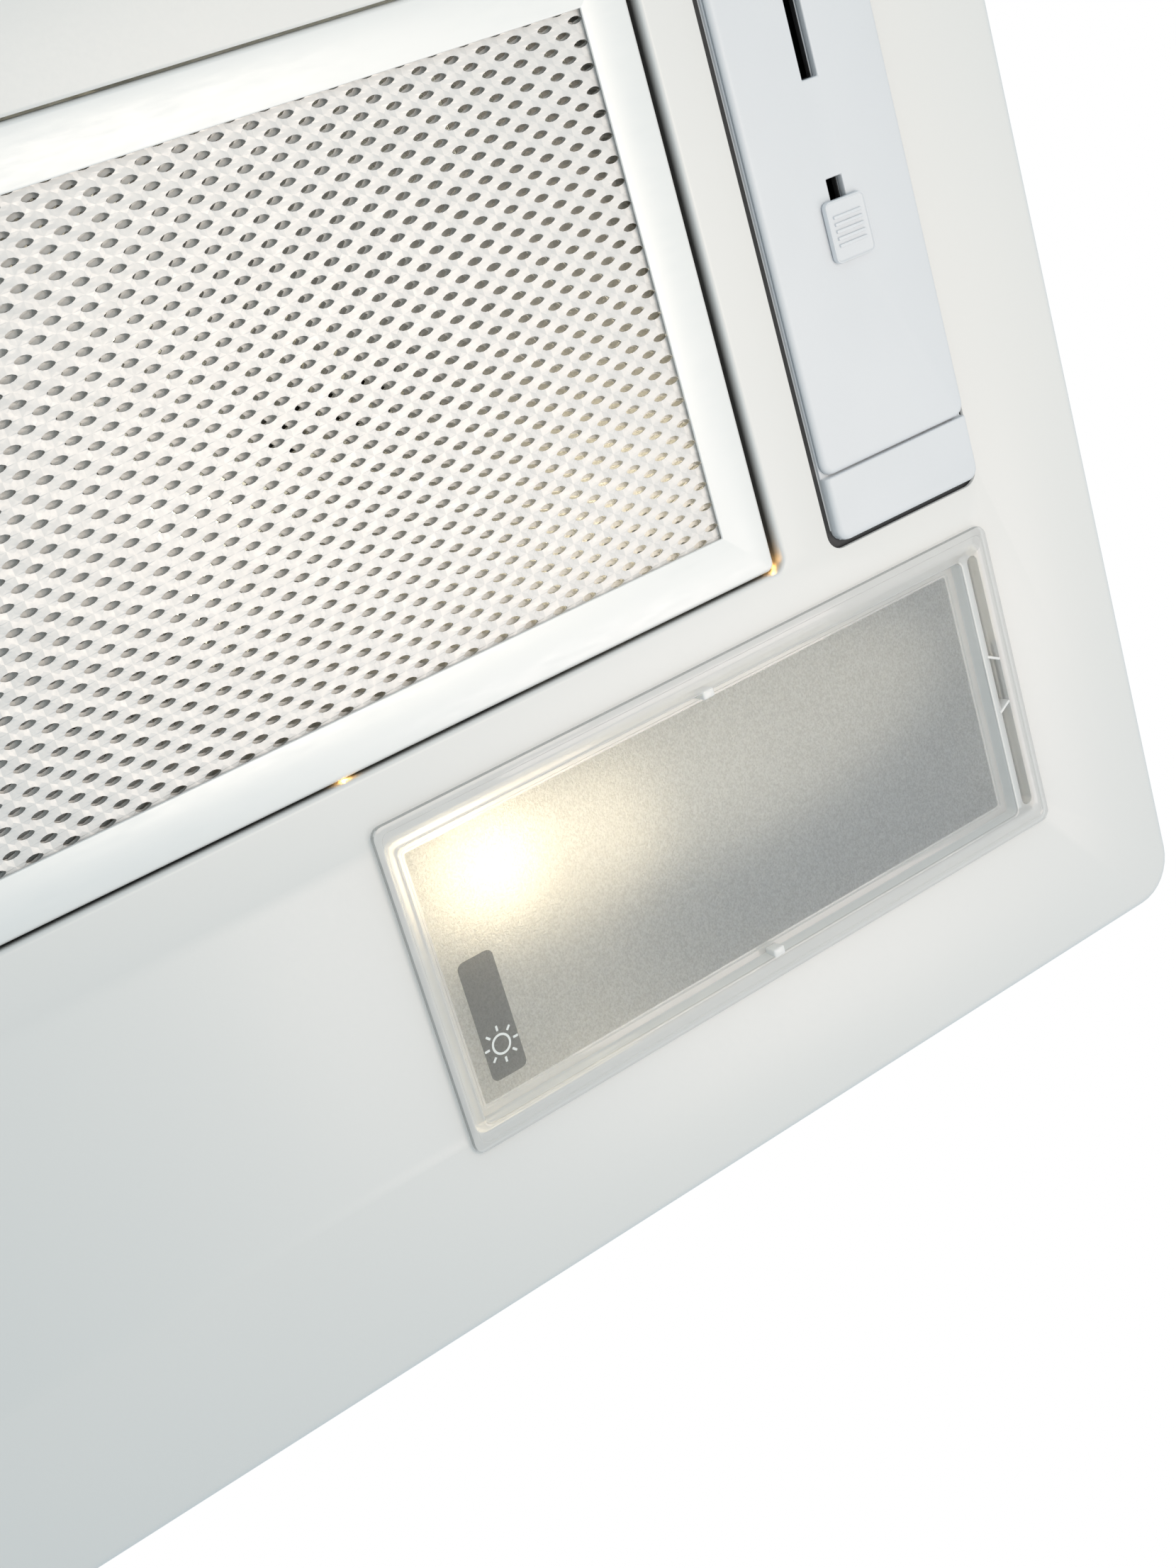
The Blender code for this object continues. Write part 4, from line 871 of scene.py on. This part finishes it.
def end_land_highlight(window, slot, face):
    """A pale opaque block on the tray's land between the frosted pane and the end slot, as painted
    highlight.
    """
    bm = bmesh.new()
    block(bm, (window[2] + 0.55 * MM, window[1] + 0.8 * MM, face + 0.55 * MM),
          (slot[0] - 0.35 * MM, window[3] - 0.8 * MM, face + 1.0 * MM), 0.15 * MM)
    return mesh_from(bm, "end_land_highlight")


def slot_shade_strip(slot, floor):
    """A grey strip at the bottom of the end slot, as painted shade for the dark inside seen through
    it.
    """
    rect = inset(slot, 0.2 * MM)
    bm = bmesh.new()
    rings = [rounded_rect(rect, 1.3 * MM, floor + 0.28 * MM, 6),
             rounded_rect(inset(rect, 0.1 * MM), 1.2 * MM, floor + 0.12 * MM, 6)]
    loops = bridge(bm, rings)
    fill_between(bm, [loops[0]])
    fill_between(bm, [loops[1]])
    return mesh_from(bm, "slot_shade_strip")


def label_meshes(window, floor):
    """A small grey label on the tray's floor, and the lamp icon printed on it."""
    level, corner, width, length = floor + 0.35 * MM, 1.6 * MM, 9.3 * MM, 29.3 * MM
    x0, y0 = window[0] + 6.3 * MM, window[1] + 31.5 * MM
    rect = (x0, y0, x0 + width, y0 + length)
    bm = bmesh.new()
    loops = bridge(bm, [rounded_rect(rect, corner, level - 0.01 * MM, 5),
                        rounded_rect(rect, corner, level - 0.10 * MM, 5)])
    fill_between(bm, [loops[0]])
    fill_between(bm, [loops[1]])
    label = mesh_from(bm, "lamp_label")

    sun, inner_share, ray_start, ray_end, half_ray = 2.5 * MM, 0.78, 3.2 * MM, 4.5 * MM, 0.28 * MM
    centre = Vector((x0 + width / 2, y0 + length - 7.6 * MM, level - 0.13 * MM))
    lift = UP * 0.05 * MM
    bm = bmesh.new()
    outer = [centre + Vector((math.cos(a), math.sin(a), 0)) * sun
             for a in (2 * math.pi * i / 32 for i in range(32))]
    inner = [centre + (p - centre) * inner_share for p in outer]
    bridge(bm, [outer, inner, [p + lift for p in inner], [p + lift for p in outer]], close=True)
    for i in range(8):
        angle = 2 * math.pi * i / 8
        out = Vector((math.cos(angle), math.sin(angle), 0))
        side = Vector((-out.y, out.x, 0)) * half_ray
        near, far = centre + out * ray_start, centre + out * ray_end
        ring = [near - side, far - side, far + side, near + side]
        loops = bridge(bm, [ring, [p + lift for p in ring]])
        bm.faces.new(loops[0])
        bm.faces.new(loops[1])
    return label, mesh_from(bm, "lamp_icon")


def make_lens_covers():
    for hand in ("right", "left"):
        mesh, window, slot, face, floor, pane_top = lens_mesh()
        label, icon = label_meshes(window, floor)
        # Painted light among these pieces: the white catch and the pale end land as painted
        # highlight, the dark notch block and the grey strip as painted shade.
        extras = [("catch", lens_details(window, slot, face, floor, pane_top),
                   NUB_HIGHLIGHT, "clear_plastic"),
                  ("notch", notch_shadow_mesh(slot, floor), NOTCH_SHADOW, "grey_plastic"),
                  ("end_land", end_land_highlight(window, slot, face), END_LAND_HIGHLIGHT, "clear_plastic"),
                  ("end_slot_shade", slot_shade_strip(slot, floor), SLOT_SHADE, "grey_plastic"),
                  ("label", label, LABEL, "grey_plastic"),
                  ("icon", icon, ICON, "clear_plastic")]
        if hand == "left":
            mirror_mesh(mesh)
            for _, extra, _, _ in extras:
                mirror_mesh(extra)
        # The cover's clear plastic, its frosted face, and its painted shade and painted highlight
        # copies.
        for look in (LOOKS["clear_plastic"], FROSTED, CLEAR_EDGE_SHADE, TRAY_WALL_HIGHLIGHT):
            mesh.materials.append(look)
        cover = add_piece(f"lens_cover_{hand}_finish", mesh, f"lens_cover_{hand}", OWN_LOOKS)
        smooth(cover, 32.0)
        for tag, extra, look, slot in extras:
            piece = add_piece(f"lens_{tag}_{hand}", extra, None, look, f"lens_{hand}", slot)
            smooth(piece)


def make_bulb(hand, side):
    """A candle lamp lying along X, with its tip towards the hood's middle and a screw cap."""
    low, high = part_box(f"bulb_{hand}")
    tip = low.x if side == 1 else high.x
    axis_y, axis_z = (low.y + high.y) / 2, (low.z + high.z) / 2
    origin = (tip, axis_y, axis_z)
    # Radius and distance from the tip, in millimetres.
    glass = ((0.0, 0.0), (1.6, 0.8), (3.0, 4.0), (5.2, 9.0), (7.6, 15.0), (10.4, 22.0),
             (13.3, 30.0), (15.8, 39.0), (17.2, 47.0), (17.38, 51.0), (16.9, 57.0),
             (15.2, 62.5), (12.6, 67.0), (9.8, 70.5), (8.0, 73.5), (7.2, 75.5))
    bm = turned([(r * MM, s * MM) for r, s in glass], origin, (side, 0, 0), 48)
    hot_spot = (tip + side * 29 * MM, axis_y - 11 * MM, axis_z - 8 * MM)
    glow = glowing(f"lit_lamp_glass_{hand}", hot_spot, (1.0, 0.80, 0.50), 1.6, 7.5, 0.021)
    bulb = add_piece(f"bulb_{hand}_glass", mesh_from(bm, f"bulb_{hand}_glass"), f"bulb_{hand}",
                     glow)
    smooth(bulb, 50.0)

    threads, pitch, root, crest = 10, 1.7, 6.3, 6.9
    cap = [(6.6, 74.5)]
    for i in range(threads):
        start = 76.0 + i * pitch
        cap += [(root, start), (crest, start + 0.5), (crest, start + 0.9), (root, start + 1.4)]
    cap += [(5.6, 94.5), (3.4, 96.5), (2.6, 98.6), (0.0, 98.9)]
    bm = turned([(r * MM, s * MM) for r, s in cap], origin, (side, 0, 0), 32)
    piece = add_piece(f"bulb_{hand}_cap", mesh_from(bm, f"bulb_{hand}_cap"), f"bulb_{hand}",
                      LOOKS["bright_steel"], slot="bright_steel")
    smooth(piece, 50.0)


def make_lamps():
    make_lens_covers()
    make_bulb("right", 1)
    make_bulb("left", -1)
    for hand in ("right", "left"):
        refined(f"lamp_housing_{hand}", 0.2 * MM)
        refined(f"lampholder_{hand}", 0.4 * MM, 3)
        refined(f"lamp_lead_{hand}", 0.0)


# ---------------------------------------------------------------- screws
def make_screw(node, axis):
    """A pan head screw with a cross recess, in the CAD screw's own place."""
    head, shank, point, taper = 2.4 * MM, 1.9 * MM, 0.6 * MM, 1.5 * MM
    recess_depth, recess_taper = 1.3 * MM, 0.8
    low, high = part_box(node)
    axis = Vector(axis)
    length = abs(axis.dot(high - low))
    top = (low + high) / 2 + axis * length / 2
    radius = min((high - low)[i] for i in range(3) if abs(axis[i]) < 0.5) / 2
    turn = axis.to_track_quat("Z", "Y")

    def ring(r, h, steps=48):
        return [top + turn @ Vector((r * math.cos(2 * math.pi * i / steps),
                                     r * math.sin(2 * math.pi * i / steps), h))
                for i in range(steps)]

    bm = bmesh.new()
    rings = [ring(0.02 * MM, -length), ring(point, -length), ring(shank, -length + taper),
             ring(shank, -head), ring(radius - 0.1 * MM, -head), ring(radius, -head + 0.15 * MM)]
    dome = ((1.0, 0.6), (0.93, 0.35), (0.80, 0.14))    # shares of the head's radius and height
    rings += [ring(radius * across, -head * down) for across, down in dome]
    rings += [ring(radius * 0.62, -0.02 * MM), ring(radius * 0.60, 0.0)]
    loops = bridge(bm, rings)

    arm, wide, inner_corner = radius * 0.46, radius * 0.12, 1.25
    cross = []
    for i in range(4):
        a = math.pi / 2 * i
        out = Vector((math.cos(a), math.sin(a), 0))
        side = Vector((-out.y, out.x, 0))
        cross += [out * arm - side * wide, out * arm + side * wide,
                  (out + side) * wide * inner_corner]
    mouth = [top + turn @ p for p in cross]
    deep = [top + turn @ (p * recess_taper - UP * recess_depth) for p in cross]
    recess = bridge(bm, [mouth, deep])
    fill_between(bm, [loops[-1], recess[0]])
    bm.faces.new(recess[1])
    smooth(add_piece(f"{node}_finish", mesh_from(bm, f"{node}_finish"), node), 35.0)


def make_screws():
    for node in sorted(frame["nodes"]):
        if node.startswith(("top_screw", "collar_screw")):
            make_screw(node, (0, 0, 1))
        elif node.startswith("bracket_screw"):
            make_screw(node, (1 if node.endswith("right") else -1, 0, 0))


# ---------------------------------------------------------------- the rest of the hood
def make_casing_and_blower():
    """Everything that keeps its CAD shape: sheet metal, mouldings, turned parts and leads."""
    for node in ("casing_shell", "top_plate", "side_bracket_left", "side_bracket_right",
                 "motor_bracket", "damper_flap_front", "damper_flap_rear"):
        refined(node, 0.2 * MM)
    for node in ("scroll_half_left", "scroll_half_right", "outlet_collar", "terminal_box",
                 "terminal_cover", "terminal_block", "cable_gland", "capacitor"):
        refined(node, 0.4 * MM, 3)
    for node in ("impeller", "motor_body", "motor_shaft", "motor_grommet_1", "motor_grommet_2",
                 "motor_grommet_3", "damper_pin", "capacitor_nut"):
        refined(node, 0.2 * MM)
    for node in ("motor_lead", "control_lead"):
        refined(node, 0.0)


# ---------------------------------------------------------------- stage, lights and camera
def make_floor():
    """A plain pale floor, far enough below that the hood seems to hang in the open."""
    size, level = 6.0, -1.6
    bm = bmesh.new()
    bmesh.ops.create_grid(bm, x_segments=2, y_segments=2, size=size,
                          matrix=Matrix.Translation((0, 0, level)))
    floor = bpy.data.objects.new("floor", mesh_from(bm, "floor"))
    floor.data.materials.append(finish("pale_floor", (0.96, 0.925, 0.90), (0.945, 0.91, 0.885),
                                       0.6, 0.05, blotch=2.0, grain=60.0, depth=0.0002))
    bpy.context.scene.collection.objects.link(floor)


def make_world():
    """A white backdrop for the camera, and a cooler, dimmer sky for the light."""
    sky, strength = (0.786, 0.925, 1.000, 1.0), 0.738
    world = bpy.data.worlds.new("studio")
    bpy.context.scene.world = world
    world.use_nodes = True
    tree = world.node_tree
    seen = tree.nodes["Background"]
    seen.inputs["Color"].default_value = (1.0, 1.0, 1.0, 1.0)
    lighting = add_node(tree, "ShaderNodeBackground", Color=sky, Strength=strength)
    path = add_node(tree, "ShaderNodeLightPath")
    mix = add_node(tree, "ShaderNodeMixShader")
    tree.links.new(path.outputs["Is Camera Ray"], mix.inputs[0])
    tree.links.new(lighting.outputs[0], mix.inputs[1])
    tree.links.new(seen.outputs[0], mix.inputs[2])
    tree.links.new(mix.outputs[0], tree.nodes["World Output"].inputs["Surface"])
    bpy.context.scene.view_settings.view_transform = "Standard"


def make_stage():
    make_floor()
    make_world()


def add_light(name, kind, place, power, colour):
    data = bpy.data.lights.new(name, kind)
    data.energy = power
    data.color = colour
    obj = bpy.data.objects.new(name, data)
    bpy.context.scene.collection.objects.link(obj)
    obj.location = place
    return obj


def area_light(name, place, aim, power, colour, size, depth=None):
    """A panel of light that the camera doesn't see: square, or an ellipse where it has a depth."""
    obj = add_light(name, "AREA", place, power, colour)
    obj.data.shape = "ELLIPSE" if depth else "SQUARE"
    obj.data.size = size
    if depth:
        obj.data.size_y = depth
    obj.visible_camera = False
    obj.rotation_euler = aim.to_track_quat("-Z", "Y").to_euler()


def small_light(name, place, power, colour, radius):
    obj = add_light(name, "POINT", place, power, colour)
    obj.data.shadow_soft_size = radius


def make_lights():
    """Two warm fills below the right end, the lamps' light on their panes, and light in gaps."""
    area_light("fill_beyond_corner", (0.45, 0.25, -0.45), UP, 0.409, (1.0, 0.839, 0.774), 0.2)
    area_light("fill_below_filter", (0.2, -0.05, -0.3), UP, 0.450, (1.0, 0.843, 0.715), 0.2)
    for hand, side in (("right", 1), ("left", -1)):
        area_light(f"lamp_bounce_{hand}", (side * 0.193, 0.065, 0.030), DOWN, 0.0075,
                   (1.0, 0.86, 0.62), 0.125, 0.045)
    amber = (1.0, 0.55, 0.16)
    small_light("leak_at_filter_corner", (0.2011, 0.0206, 0.0080), 0.0045, amber, 0.0004)
    small_light("leak_at_lamp_end", (0.0814, 0.0210, 0.0075), 0.0013, amber, 0.0002)
    small_light("leak_behind_filter", (0.165, -0.010, 0.045), 0.26, (1.0, 0.90, 0.68), 0.02)


def make_camera():
    """The photo's view, from below the front left up at the rear right corner.

    Its two directions, its lens and its distance from the panel's corner were fitted to
    the panel's edges in the photo.
    """
    right = Vector((0.78350, 0.26958, -0.55987))
    up = Vector((0.40624, -0.90401, 0.13322))
    from_corner = Vector((-0.41207, -0.27860, -0.430))
    data = bpy.data.cameras.new("camera")
    data.sensor_width = 36.0
    data.lens = 54.86
    data.clip_start = 0.01
    camera = bpy.data.objects.new("camera", data)
    bpy.context.scene.collection.objects.link(camera)
    back = right.cross(up)
    place = Vector((PANEL_HIGH.x, PANEL_HIGH.y, PANEL_LOW.z)) + from_corner
    camera.matrix_world = Matrix((
        (right.x, up.x, back.x, place.x), (right.y, up.y, back.y, place.y),
        (right.z, up.z, back.z, place.z), (0, 0, 0, 1)))
    bpy.context.scene.camera = camera


make_base_panel()
make_filter_frame()
make_filter_mesh()
make_latch()
make_controls()
make_lamps()
make_screws()
make_casing_and_blower()
make_stage()
make_lights()
make_camera()
